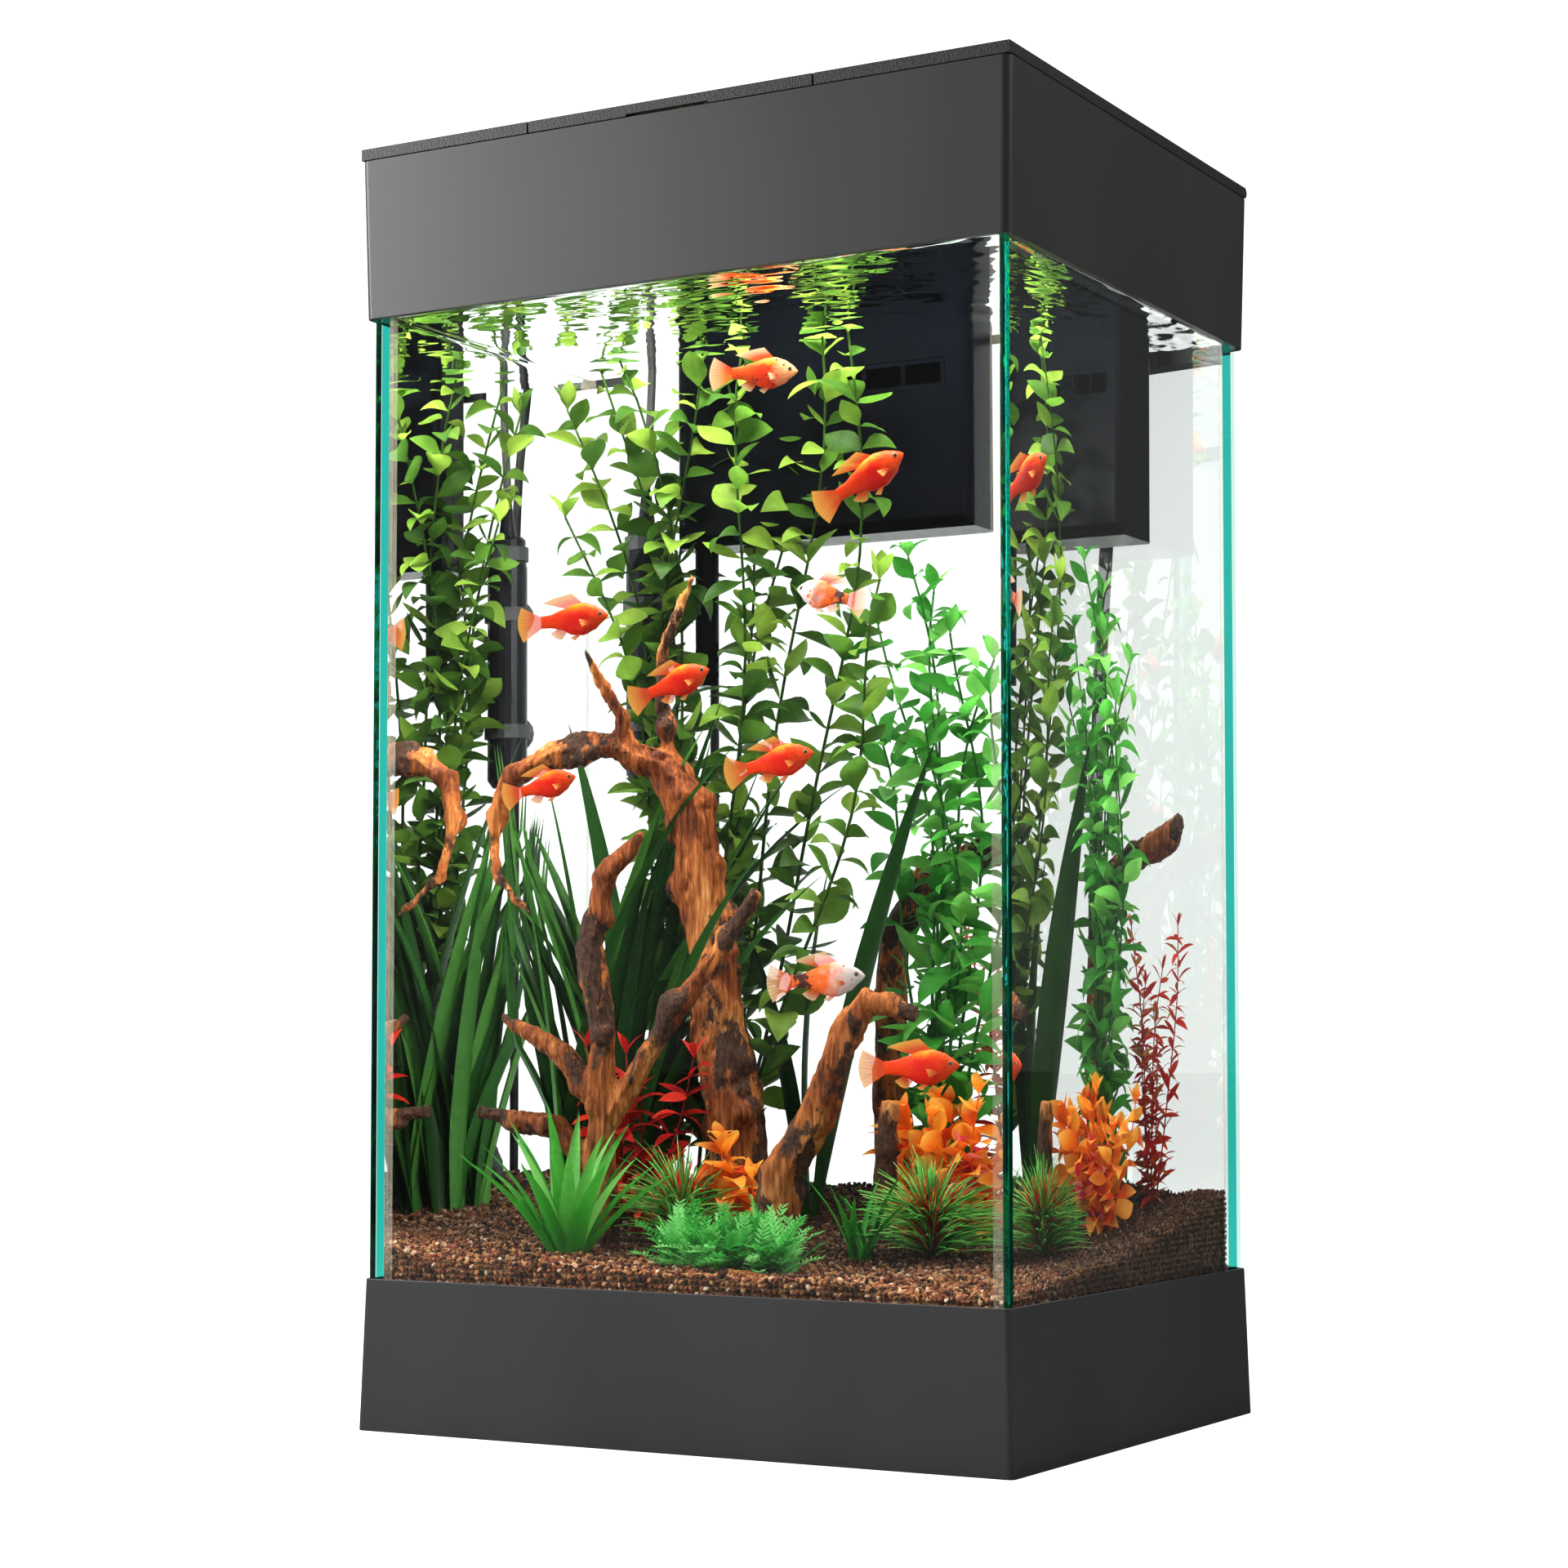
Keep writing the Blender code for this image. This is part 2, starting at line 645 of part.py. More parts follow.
def lug_solid(x, grow=0.0):
    """The upright lug that carries a lid pin, or, grown, the notch that it stands in."""
    reach = HINGE_RADIUS - GAP + grow
    root_z = HOOD_TOP_Z - LID_LUG_ROOT - grow
    steps = 6
    outline = [(LID_HINGE_Y + reach, root_z)]
    for step in range(steps + 1):
        angle = math.pi * step / steps
        outline.append((LID_HINGE_Y + reach * math.cos(angle), HINGE_Z + reach * math.sin(angle)))
    outline.append((LID_HINGE_Y - reach, root_z))
    lug = outline_solid(outline, LID_LUG_WIDTH + 2 * grow, (x, 0, 0), (math.pi / 2, 0, math.pi / 2))
    return as_mesh(lug)


def lid_outline_block(low_y, high_y, half_w):
    """A plate as thick as the lid whose rear edge is round about its hinge line."""
    steps = 6
    hinge_y = high_y - HINGE_RADIUS
    outline = [(low_y, LID_Z)]
    for step in range(steps + 1):
        angle = -math.pi / 2 + math.pi * step / steps
        outline.append(
            (hinge_y + HINGE_RADIUS * math.cos(angle), HINGE_Z + HINGE_RADIUS * math.sin(angle))
        )
    outline.append((low_y, LID_TOP_Z))
    return as_mesh(
        outline_solid(outline, 2 * half_w, (0, 0, 0), (math.pi / 2, 0, math.pi / 2))
    )


def soften(made, width, segments=2):
    bevel = made.modifiers.new("edges", "BEVEL")
    bevel.width = width
    bevel.segments = segments
    bevel.limit_method = "ANGLE"
    bevel.angle_limit = math.radians(60)
    return made


def lid():
    door_half = DOOR_WIDTH / 2
    panel = lid_outline_block(-HOOD_TOP_D, HOOD_TOP_D, HOOD_TOP_W)
    soften(panel, LID_EDGE_ROUND)
    door_back = DOOR_HINGE_Y + HINGE_RADIUS
    door_seat = block(
        (-door_half - DOOR_PLAY, -HOOD_TOP_D - CUT_OVER, LID_Z - CUT_OVER),
        (door_half + DOOR_PLAY, door_back + DOOR_PLAY, LID_TOP_Z + CUT_OVER),
    )
    recess = block(
        (-HOOD_TOP_W + LID_RIM, door_back + LID_RIM, LID_Z - CUT_OVER),
        (HOOD_TOP_W - LID_RIM, HOOD_TOP_D - LID_RIM, LID_TOP_Z - LID_SKIN),
    )
    switch_half = (SWITCH_SIZE[0] / 2, SWITCH_SIZE[1] / 2)
    hole_x, hole_y = switch_half[0] + SLIP, switch_half[1] + SLIP
    switch_hole = block(
        (SWITCH_X - hole_x, SWITCH_Y - hole_y, LID_Z - CUT_OVER),
        (SWITCH_X + hole_x, SWITCH_Y + hole_y, LID_TOP_Z + CUT_OVER),
    )
    cut(panel, door_seat, recess, switch_hole)
    for side in (-1, 1):
        cut(panel, lug_solid(side * LID_LUG_X, LID_LUG_PLAY))
    door_rod_length = DOOR_WIDTH + 2 * DOOR_ROD_OVER
    cut(panel, hinge_bore(LID_HINGE_Y, LID_ROD_LENGTH), hinge_bore(DOOR_HINGE_Y, door_rod_length))
    as_part(panel, "lid_panel", LID_BLACK)

    door = lid_outline_block(-HOOD_TOP_D, door_back, door_half)
    soften(door, DOOR_EDGE_ROUND)
    finger_width, finger_reach, finger_rise = FINGER_SIZE
    finger_lip = block(
        (-finger_width / 2, -HOOD_TOP_D - CUT_OVER, LID_Z - CUT_OVER),
        (finger_width / 2, -HOOD_TOP_D + finger_reach, LID_Z + finger_rise),
    )
    cut(door, finger_lip, hinge_bore(DOOR_HINGE_Y, door_rod_length))
    pivot_at(as_part(door, "feeding_door", LID_BLACK), (0, DOOR_HINGE_Y, HINGE_Z))
    as_part(hinge_rod(DOOR_HINGE_Y, door_rod_length), "door_hinge_rod", STEEL)

    rocker = outline_solid(
        [
            (-switch_half[0], -SWITCH_BODY),
            (switch_half[0], -SWITCH_BODY),
            (switch_half[0], SWITCH_HORN),
            (0, -SWITCH_DIP),
            (-switch_half[0], SWITCH_HORN),
        ],
        SWITCH_SIZE[1],
        (SWITCH_X, SWITCH_Y, LID_TOP_Z - SWITCH_SUNK),
        (math.pi / 2, 0, 0),
    )
    as_part(rocker, "light_switch", BLACK)


def lamp():
    width, depth, height = LAMP_SIZE
    roof_z = LID_TOP_Z - LID_SKIN - GAP
    low = Vector((-width / 2, LAMP_CENTRE_Y - depth / 2, roof_z - height))
    high = Vector((width / 2, LAMP_CENTRE_Y + depth / 2, roof_z))
    case = block(low, high, LAMP_CORNER)
    wall = Vector((LAMP_WALL, LAMP_WALL, LAMP_WALL))
    cut(case, block(low + Vector((LAMP_WALL, LAMP_WALL, -CUT_OVER)), high - wall))
    socket_z = (low.z + high.z) / 2
    socket_place = (width / 2 - INLET_FROM_END, high.y + INLET_LENGTH / 2 - INLET_SUNK, socket_z)
    cut(case, cylinder(socket_place, INLET_RADIUS + GAP, INLET_LENGTH, "Y", 16))
    as_part(case, "lamp_housing", BLACK)
    inset = LAMP_WALL + GAP
    lens_z = low.z + LAMP_LENS_UP
    lens = block(
        (low.x + inset, low.y + inset, lens_z), (high.x - inset, high.y - inset, lens_z + LAMP_LENS)
    )
    as_part(lens, "lamp_lens", LENS)
    strip_length, strip_width, strip_thick = LED_STRIP_SIZE
    strip_z = high.z - inset
    strip = block(
        (-strip_length / 2, LAMP_CENTRE_Y - strip_width / 2, strip_z - strip_thick),
        (strip_length / 2, LAMP_CENTRE_Y + strip_width / 2, strip_z),
    )
    as_part(strip, "led_strip", LED_BOARD)
    socket = cylinder(socket_place, INLET_RADIUS, INLET_LENGTH, "Y", 16)
    bore_place = (socket_place[0], socket_place[1] + INLET_FLOOR, socket_place[2])
    cut(socket, cylinder(bore_place, INLET_RADIUS - INLET_WALL, INLET_LENGTH, "Y", 12))
    as_part(socket, "lamp_inlet", BLACK)


# Filter


def filter_unit():
    grille_x = BAY_WALL_X + FILTER_WALL + GRILLE_FROM_BAY + GRILLE_SIZE[0] / 2
    grille_z = RIM_Z - GRILLE_DOWN
    intake_x = FILTER_LOW.x + INTAKE_FROM_LEFT
    middle_y = (FILTER_LOW.y + FILTER_HIGH.y) / 2
    filter_case(grille_x, grille_z, intake_x, middle_y)
    grille(grille_x, grille_z)
    cartridge(middle_y)
    pump(middle_y)
    intake(intake_x, middle_y)
    filter_bracket()


def filter_case(grille_x, grille_z, intake_x, middle_y):
    low, high, wall = FILTER_LOW, FILTER_HIGH, FILTER_WALL
    case = block(low, high, FILTER_RADIUS)
    bay_y = (low.y + wall, high.y - wall)
    cartridge_bay = block(
        (low.x + wall, bay_y[0], low.z + wall), (BAY_WALL_X, bay_y[1], high.z + CUT_OVER), BAY_RADIUS
    )
    pump_bay = block(
        (BAY_WALL_X + wall, bay_y[0], low.z + wall),
        (high.x - wall, bay_y[1], high.z + CUT_OVER),
        BAY_RADIUS,
    )
    past = 0.001
    reach = FILTER_CHAMFER + past
    chamfer = outline_solid(
        [
            (low.y - past, low.z - past),
            (low.y + reach, low.z - past),
            (low.y - past, low.z + reach),
        ],
        FILTER_WIDTH + 2 * CUT_OVER,
        ((low.x + high.x) / 2, 0, 0),
        (math.pi / 2, 0, math.pi / 2),
    )
    half_w, half_h = GRILLE_SIZE[0] / 2, GRILLE_SIZE[1] / 2
    window = block(
        (grille_x - half_w, low.y - CUT_OVER, grille_z - half_h),
        (grille_x + half_w, low.y + wall + past, grille_z + half_h),
    )
    intake_hole = cylinder((intake_x, middle_y, low.z), INTAKE_RADIUS + GAP, 2 * CUT_OVER)
    overflow = block(
        (BAY_WALL_X - past, low.y + OVERFLOW_INSET, high.z - OVERFLOW_SPAN[0]),
        (BAY_WALL_X + wall + past, high.y - OVERFLOW_INSET, high.z - OVERFLOW_SPAN[1]),
    )
    cut(case, cartridge_bay, pump_bay, as_mesh(chamfer), window, intake_hole, overflow)
    as_part(case, "filter_case", FILTER_BLACK)


def grille(middle_x, middle_z):
    half_w, half_h = GRILLE_SIZE[0] / 2 - GAP, GRILLE_SIZE[1] / 2 - GAP
    plate = block(
        (middle_x - half_w, FILTER_LOW.y + GRILLE_SUNK, middle_z - half_h),
        (middle_x + half_w, FILTER_LOW.y + FILTER_WALL, middle_z + half_h),
    )
    slot_w = (2 * half_w - (GRILLE_SLOTS + 1) * GRILLE_BAR) / GRILLE_SLOTS
    slot_h = half_h - GRILLE_BAR
    for slot in range(GRILLE_SLOTS):
        x = middle_x - half_w + GRILLE_BAR + slot * (slot_w + GRILLE_BAR)
        hole = block(
            (x, FILTER_LOW.y - CUT_OVER, middle_z - slot_h),
            (x + slot_w, FILTER_LOW.y + CUT_OVER, middle_z + slot_h),
        )
        cut(plate, hole)
    as_part(plate, "outlet_grille", FILTER_BLACK)


def cartridge(middle_y):
    """The foam cassette, with the tab that it is lifted by."""
    low, high = FILTER_LOW, FILTER_HIGH
    inset = FILTER_WALL + CARTRIDGE_PLAY
    top_z = high.z - CARTRIDGE_DOWN
    cassette = block(
        (low.x + inset, low.y + inset, low.z + FILTER_WALL + CARTRIDGE_FOOT),
        (BAY_WALL_X - CARTRIDGE_PLAY, high.y - inset, top_z),
        CARTRIDGE_RADIUS,
    )
    middle_x = (low.x + FILTER_WALL + BAY_WALL_X) / 2
    tab_w, tab_d, tab_h = TAB_SIZE
    tab = block(
        (middle_x - tab_w / 2, middle_y - tab_d / 2, top_z - TAB_ROOT),
        (middle_x + tab_w / 2, middle_y + tab_d / 2, top_z + tab_h),
    )
    as_part(join(cassette, tab), "filter_cartridge", FOAM)


def pump(middle_y):
    width, depth, height = PUMP_SIZE
    x = BAY_WALL_X + FILTER_WALL + PUMP_FROM_BAY + width / 2
    foot = FILTER_LOW.z + FILTER_WALL + GAP
    housing = block(
        (x - width / 2, middle_y - depth / 2, foot),
        (x + width / 2, middle_y + depth / 2, foot + height),
        PUMP_RADIUS,
    )
    chamber_z = foot + CHAMBER_FOOT + CHAMBER_PLAY + IMPELLER_LENGTH / 2
    chamber = cylinder(
        (x, middle_y, chamber_z),
        IMPELLER_RADIUS + CHAMBER_PLAY,
        IMPELLER_LENGTH + 2 * CHAMBER_PLAY,
        sides=20,
    )
    inlet = cylinder((x, middle_y, foot), *PUMP_INLET, sides=12)
    spout_x = x + IMPELLER_RADIUS + CHAMBER_PLAY - PUMP_SPOUT_RADIUS - GAP
    spout = cylinder((spout_x, middle_y, foot + height), PUMP_SPOUT_RADIUS, height, sides=12)
    as_part(cut(housing, chamber, inlet, spout), "pump_housing", FILTER_BLACK)

    short, thick, end = IMPELLER_VANE
    rotor = cylinder((x, middle_y, chamber_z), IMPELLER_HUB, IMPELLER_LENGTH - end, sides=12)
    for vane in range(3):
        reach, half_length = IMPELLER_RADIUS - short, IMPELLER_LENGTH / 2 - 1.5 * end
        blade = block((-reach, -thick / 2, -half_length), (reach, thick / 2, half_length))
        blade.rotation_euler = (0, 0, math.pi * vane / 3)
        blade.location = (x, middle_y, chamber_z)
        join(rotor, blade)
    as_part(rotor, "impeller", STEEL)


def intake(x, y):
    """The tube that hangs under the case, with the strainer's slots at its foot."""
    top = FILTER_LOW.z + FILTER_WALL + INTAKE_IN_CASE
    middle_z = top - INTAKE_LENGTH / 2
    pipe = cylinder((x, y, middle_z), INTAKE_RADIUS, INTAKE_LENGTH)
    bore = cylinder((x, y, middle_z + STRAINER_SLOT[1]), INTAKE_RADIUS - INTAKE_WALL, INTAKE_LENGTH)
    cut(pipe, bore)
    slot_w, slot_h = STRAINER_SLOT
    for row in range(STRAINER_ROWS):
        z = top - INTAKE_LENGTH + INTAKE_WALL + slot_h + row * STRAINER_PITCH
        cut(pipe, block((x - CUT_OVER, y - slot_w / 2, z), (x + CUT_OVER, y + slot_w / 2, z + slot_h)))
    as_part(pipe, "intake_tube", FILTER_BLACK)


def filter_bracket():
    """The plate behind the case, held to the back pane by four cups."""
    low, high = FILTER_LOW, FILTER_HIGH
    side, foot, head = BRACKET_INSET
    low_x, high_x = low.x + side, high.x - side
    low_z, high_z = low.z + foot, RIM_Z - head
    front_y = high.y + GAP
    plate = block((low_x, front_y, low_z), (high_x, front_y + BRACKET_THICK, high_z))
    for x in (low_x + BRACKET_CUP_INSET, high_x - BRACKET_CUP_INSET):
        for z in (low_z + BRACKET_CUP_INSET, high_z - BRACKET_CUP_INSET):
            join(plate, suction_cup((x, high.y + BRACKET_THICK, z), INNER_D - GAP))
    as_part(plate, "filter_bracket", RUBBER)


def suction_cup(root, glass_y, radius=CUP_RADIUS):
    """A cup that stands on root and spreads towards the glass behind it."""
    reach = glass_y - root[1]
    stem = radius * 0.35
    profile = [
        (0, reach),
        (radius, reach),
        (radius * 0.85, reach * 0.7),
        (stem, reach * 0.35),
        (stem, 0),
        (0, 0),
    ]
    cup = turned(profile, root, sides=14)
    cup.rotation_euler = (-math.pi / 2, 0, 0)
    return cup


# Heater and its cable


def heater():
    """Builds the heater with its dial and holder, and returns where its cable leaves the boot."""
    heater_sleeve()
    neck_foot = HEATER_TOP_Z + GAP
    dial_z = neck_foot + NECK_HEIGHT
    head_z = dial_z + DIAL_HEIGHT + GAP
    boot_z = head_z + HEAD_HEIGHT
    heater_cap(neck_foot, dial_z, head_z, boot_z)

    middle = (HEATER_X, HEATER_Y, dial_z + DIAL_HEIGHT / 2)
    dial = cylinder(middle, HEATER_RADIUS + DIAL_PROUD, DIAL_HEIGHT, sides=18)
    cut(dial, cylinder(middle, NECK_RADIUS + RUNNING, 2 * DIAL_HEIGHT, sides=20))
    pivot_at(as_part(dial, "heater_dial", RUBBER), middle)
    heater_holder()
    return Vector((HEATER_X, HEATER_Y, boot_z + BOOT_HEIGHT))


def heater_sleeve():
    radius = HEATER_RADIUS
    profile = [
        (0, 0),
        (radius, 0),
        (radius, -HEATER_LENGTH + HEATER_ROUND),
        (radius * 0.72, -HEATER_LENGTH + HEATER_ROUND / 4),
        (0, -HEATER_LENGTH),
    ]
    as_part(turned(profile, (HEATER_X, HEATER_Y, HEATER_TOP_Z)), "heater_tube", HEATER_BLACK)


def heater_cap(neck_foot, dial_z, head_z, boot_z):
    """A flange on the sleeve, the neck inside the dial, the head above it and the cable's boot."""
    flange, head = HEATER_RADIUS - 0.0005, HEATER_RADIUS - 0.001
    chamfer = 0.002
    profile = [
        (0, boot_z + BOOT_HEIGHT),
        (CABLE_RADIUS * 1.15, boot_z + BOOT_HEIGHT),
        (CABLE_RADIUS * 2.2, boot_z),
        (head - chamfer, boot_z),
        (head, boot_z - chamfer),
        (head, head_z),
        (NECK_RADIUS, head_z),
        (NECK_RADIUS, dial_z - GAP),
        (flange, dial_z - GAP),
        (flange, neck_foot),
        (0, neck_foot),
    ]
    as_part(turned(profile, (HEATER_X, HEATER_Y, 0)), "heater_cap", HEATER_BLACK)


def heater_holder():
    """A spine with two rings round the sleeve and two cups on the back pane."""
    x, y = HEATER_X, HEATER_Y
    upper_z = HEATER_TOP_Z - CLIP_DOWN
    lower_z = HEATER_TOP_Z - HEATER_LENGTH + CLIP_UP
    bore_radius = HEATER_RADIUS + GAP
    spine_y = y + bore_radius + CLIP_WALL / 2
    half_w, half_h = SPINE_WIDTH / 2, CLIP_HEIGHT / 2
    holder = block(
        (x - half_w, spine_y, lower_z - half_h), (x + half_w, spine_y + CLIP_WALL, upper_z + half_h)
    )
    for z in (upper_z, lower_z):
        ring = cylinder((x, y, z), bore_radius + CLIP_WALL, CLIP_HEIGHT, sides=20)
        cup = suction_cup((x, spine_y + CLIP_WALL / 2, z), INNER_D - GAP)
        join(holder, ring, cup)
    bore_length = upper_z - lower_z + 2 * CLIP_HEIGHT
    cut(holder, cylinder((x, y, (upper_z + lower_z) / 2), bore_radius, bore_length, sides=20))
    as_part(holder, "heater_holder", RUBBER)


# The cable's route: up inside the tank, over the back rim, down behind the tank and to the coil
CABLE_ROUTE = [
    (-0.1310, 0.1210, 0.5126),
    (-0.1305, 0.1213, 0.5300),
    (-0.1290, 0.1220, 0.5500),
    (-0.1280, 0.1225, 0.5700),
    (-0.1275, 0.1232, 0.5850),
    (-0.1270, 0.1278, 0.5987),
    (-0.1265, 0.1355, 0.6045),
    (-0.1255, 0.1440, 0.6062),
    (-0.1240, 0.1530, 0.6036),
    (-0.1220, 0.1608, 0.5965),
    (-0.1190, 0.1650, 0.5850),
    (-0.1160, 0.1658, 0.5650),
    (-0.1125, 0.1658, 0.5350),
    (-0.1105, 0.1656, 0.4900),
    (-0.1100, 0.1655, 0.4200),
    (-0.1100, 0.1655, 0.3300),
    (-0.1100, 0.1656, 0.2400),
    (-0.1100, 0.1658, 0.1500),
    (-0.1100, 0.1662, 0.0800),
    (-0.1098, 0.1690, 0.0450),
    (-0.1090, 0.1765, 0.0220),
    (-0.1075, 0.1890, 0.0075),
    (-0.1055, 0.2050, 0.0029),
    (-0.1045, 0.2200, 0.0028),
]


def cable(boot_end):
    route = [Vector(p) for p in CABLE_ROUTE]
    route[0] = boot_end + Vector((0, 0, GAP))
    points = smooth_route(route, CABLE_STEP)
    as_part(tube(points, [CABLE_RADIUS] * len(points), 2), "heater_cable", RUBBER)
    half_wide = COIL_TURNS_WIDE * CABLE_RADIUS
    outer = COIL_MEAN_RADIUS + half_wide
    inner = COIL_MEAN_RADIUS - half_wide
    height = COIL_LAYERS * 2 * CABLE_RADIUS
    end = points[-1]
    centre = Vector((end.x + outer - CABLE_RADIUS, end.y + GAP, GAP))
    profile = [(inner, height), (outer, height), (outer, 0), (inner, 0), (inner, height)]
    ring = turned(profile, centre, sides=28)
    mouth = block(
        (end.x - 1.4 * CABLE_RADIUS, end.y - outer, -CUT_OVER),
        (end.x + 1.4 * CABLE_RADIUS, end.y + GAP, height + CUT_OVER),
    )
    boot_seat = block(
        (centre.x + PLUG_FROM_COIL, centre.y + outer - 2 * PLUG_BOOT[1], -CUT_OVER),
        (centre.x + outer, centre.y + outer + CUT_OVER, height + CUT_OVER),
    )
    as_part(cut(ring, mouth, boot_seat), "cable_coil", RUBBER)
    plug(centre)


def plug(coil_centre):
    """The plug lies in line with the coil's last turn, where the cable leaves it towards +X."""
    length, width, height = PLUG_SIZE
    boot_length, boot_radius, neck_radius = PLUG_BOOT
    root = 0.001
    y = coil_centre.y + COIL_MEAN_RADIUS + (COIL_TURNS_WIDE - 1) * CABLE_RADIUS
    low_x = coil_centre.x + PLUG_FROM_COIL + GAP + boot_length
    middle_z = GAP + height / 2
    body = block(
        (low_x, y - width / 2, GAP), (low_x + length, y + width / 2, GAP + height), PLUG_RADIUS
    )
    soften(body, PLUG_EDGE)
    boot_place = (low_x - boot_length / 2 + root / 2, y, middle_z)
    boot = cylinder(boot_place, neck_radius, boot_length + root, "X", 12, boot_radius)
    join(body, boot)
    pin_length, pin_radius = PLUG_PIN
    pin_x = low_x + length - PLUG_PIN_ROOT + pin_length / 2
    for side in (-1, 1):
        pin_place = (pin_x, y + side * PLUG_PIN_APART / 2, middle_z)
        join(body, cylinder(pin_place, pin_radius, pin_length, "X", 12))
    as_part(body, "heater_plug", RUBBER)


# Planting, wood and rock


def spot(x, y, z=0.0):
    """A place on the planting plan, in millimetres, moved to the tank that is built.

    Heights are stretched between the gravel and the rim, so that a stem keeps its foot in the gravel.
    """
    open_depth = FILTER_LOW.y + INNER_D
    place = Vector((x / 1000 * 2 * INNER_W / PLAN_WIDTH, 0, 0))
    place.y = -INNER_D + (y / 1000 + PLAN_FRONT) * open_depth / PLAN_OPEN_DEPTH
    bed = gravel_height(place.x, place.y)
    place.z = bed + (z / 1000 - bed) * (RIM_Z - bed) / (PLAN_RIM_Z - bed)
    return place


def branch(points, radii):
    """A bar through plan points, as a closed mesh."""
    return as_mesh(tube([spot(*p) for p in points], [r / 1000 for r in radii]))


def bedded(points, radii):
    """The same bar, with a straight foot that goes down into its pocket in the gravel."""
    first = spot(*points[0])
    foot_radius = radii[0] / 1000
    foot = Vector((first.x, first.y, gravel_height(first.x, first.y) - BEDDING))
    POCKETS.append((first.x, first.y, foot_radius))
    above = foot + Vector((0, 0, BEDDING + FOOT_ABOVE + foot_radius / 4))
    places = [foot, above] + [spot(*p) for p in points[1:]]
    sizes = [foot_radius, foot_radius] + [r / 1000 for r in radii[1:]]
    return as_mesh(tube(places, sizes))


POCKETS = []


def driftwood():
    trunk = bedded(
        [
            (-36, 30, 100),
            (-36, 30, 150),
            (-46, 30, 212),
            (-56, 30, 277),
            (-61, 28, 321),
            (-80, 20, 350),
            (-104, 4, 359),
            (-135, -6, 356),
            (-158, -16, 343),
            (-165, -24, 320),
            (-160, -32, 292),
            (-134, -40, 268),
        ],
        [21, 19, 17, 16, 15, 12, 9, 8, 7, 6, 5, 3],
    )
    join(
        trunk,
        branch([(-92, 12, 354), (-97, 6, 376), (-108, -4, 398), (-114, -10, 412)], [7, 6, 4, 3]),
        branch([(-66, 26, 330), (-82, 29, 372), (-82, 30, 410), (-62, 30, 452)], [9, 6, 5, 3]),
    )
    as_part(trunk, "driftwood_trunk", WOOD)

    forked = bedded(
        [
            (-84, -50, 95),
            (-84, -50, 156),
            (-83, -50, 205),
            (-91, -50, 250),
            (-82, -50, 288),
            (-60, -50, 309),
        ],
        [12, 10, 9, 9, 7, 2.5],
    )
    join(
        forked,
        branch([(-80, -50, 158), (-56, -51, 194), (-18, -52, 240), (11, -52, 277)], [8, 7, 6, 4]),
        branch([(-84, -50, 168), (-108, -50, 194), (-148, -50, 215)], [8, 6.5, 3]),
        branch([(-86, -50, 132), (-112, -50, 156), (-162, -50, 163)], [8, 7, 5]),
    )
    as_part(forked, "driftwood_forked", WOOD)

    hook = bedded(
        [(15, -40, 95), (20, -40, 134), (40, -40, 163), (55, -40, 200), (70, -40, 221), (98, -40, 214)],
        [12, 12, 11, 9, 8, 6],
    )
    as_part(hook, "driftwood_hook", WOOD)

    arch = bedded(
        [
            (27, 112, 105),
            (25, 112, 200),
            (29, 110, 256),
            (50, 106, 290),
            (95, 105, 302),
            (134, 106, 312),
            (150, 104, 318),
        ],
        [12, 11, 10, 9, 9, 9, 7],
    )
    as_part(arch, "driftwood_arch", WOOD)

    stub = bedded([(57, 18, 100), (58, 18, 150), (60, 17, 170)], [7, 7, 5])
    as_part(stub, "driftwood_stub", WOOD)


def rock():
    """A ridged stone on the gravel, behind on the left, with a flat underside."""
    place = spot(-124, 92)
    half_w, half_d, rise = ROCK_SIZE
    shape = bmesh.new()
    bmesh.ops.create_icosphere(shape, subdivisions=2, radius=1)
    foot = max(gravel_height(place.x + x, place.y + half_d) for x in (-half_w, half_w))
    for vert in shape.verts:
        ridge = 1 + 0.10 * math.sin(5 * vert.co.x + 2 * vert.co.y) * math.cos(4 * vert.co.z)
        flat_z = max(vert.co.z, -0.35)
        vert.co = Vector((vert.co.x * half_w, vert.co.y * half_d, flat_z * rise)) * ridge
    lowest = min(vert.co.z for vert in shape.verts)
    made = mesh_object("rock", shape)
    made.location = (place.x, place.y, foot + GAP - lowest)
    as_part(made, "dark_rock", ROCK)


def plant(name, finish, stem, *side_stems):
    """One plant on one foot: the first stem is bedded, and the others leave it."""
    first, radii = stem
    body = bedded(first, radii)
    for points, sizes in side_stems:
        join(body, branch(points, sizes))
    as_part(body, name, finish)


def bush(name, finish, place, heights, radii):
    """A bushy plant that widens straight up from its foot."""
    plant(name, finish, ([(*place, height) for height in heights], radii))


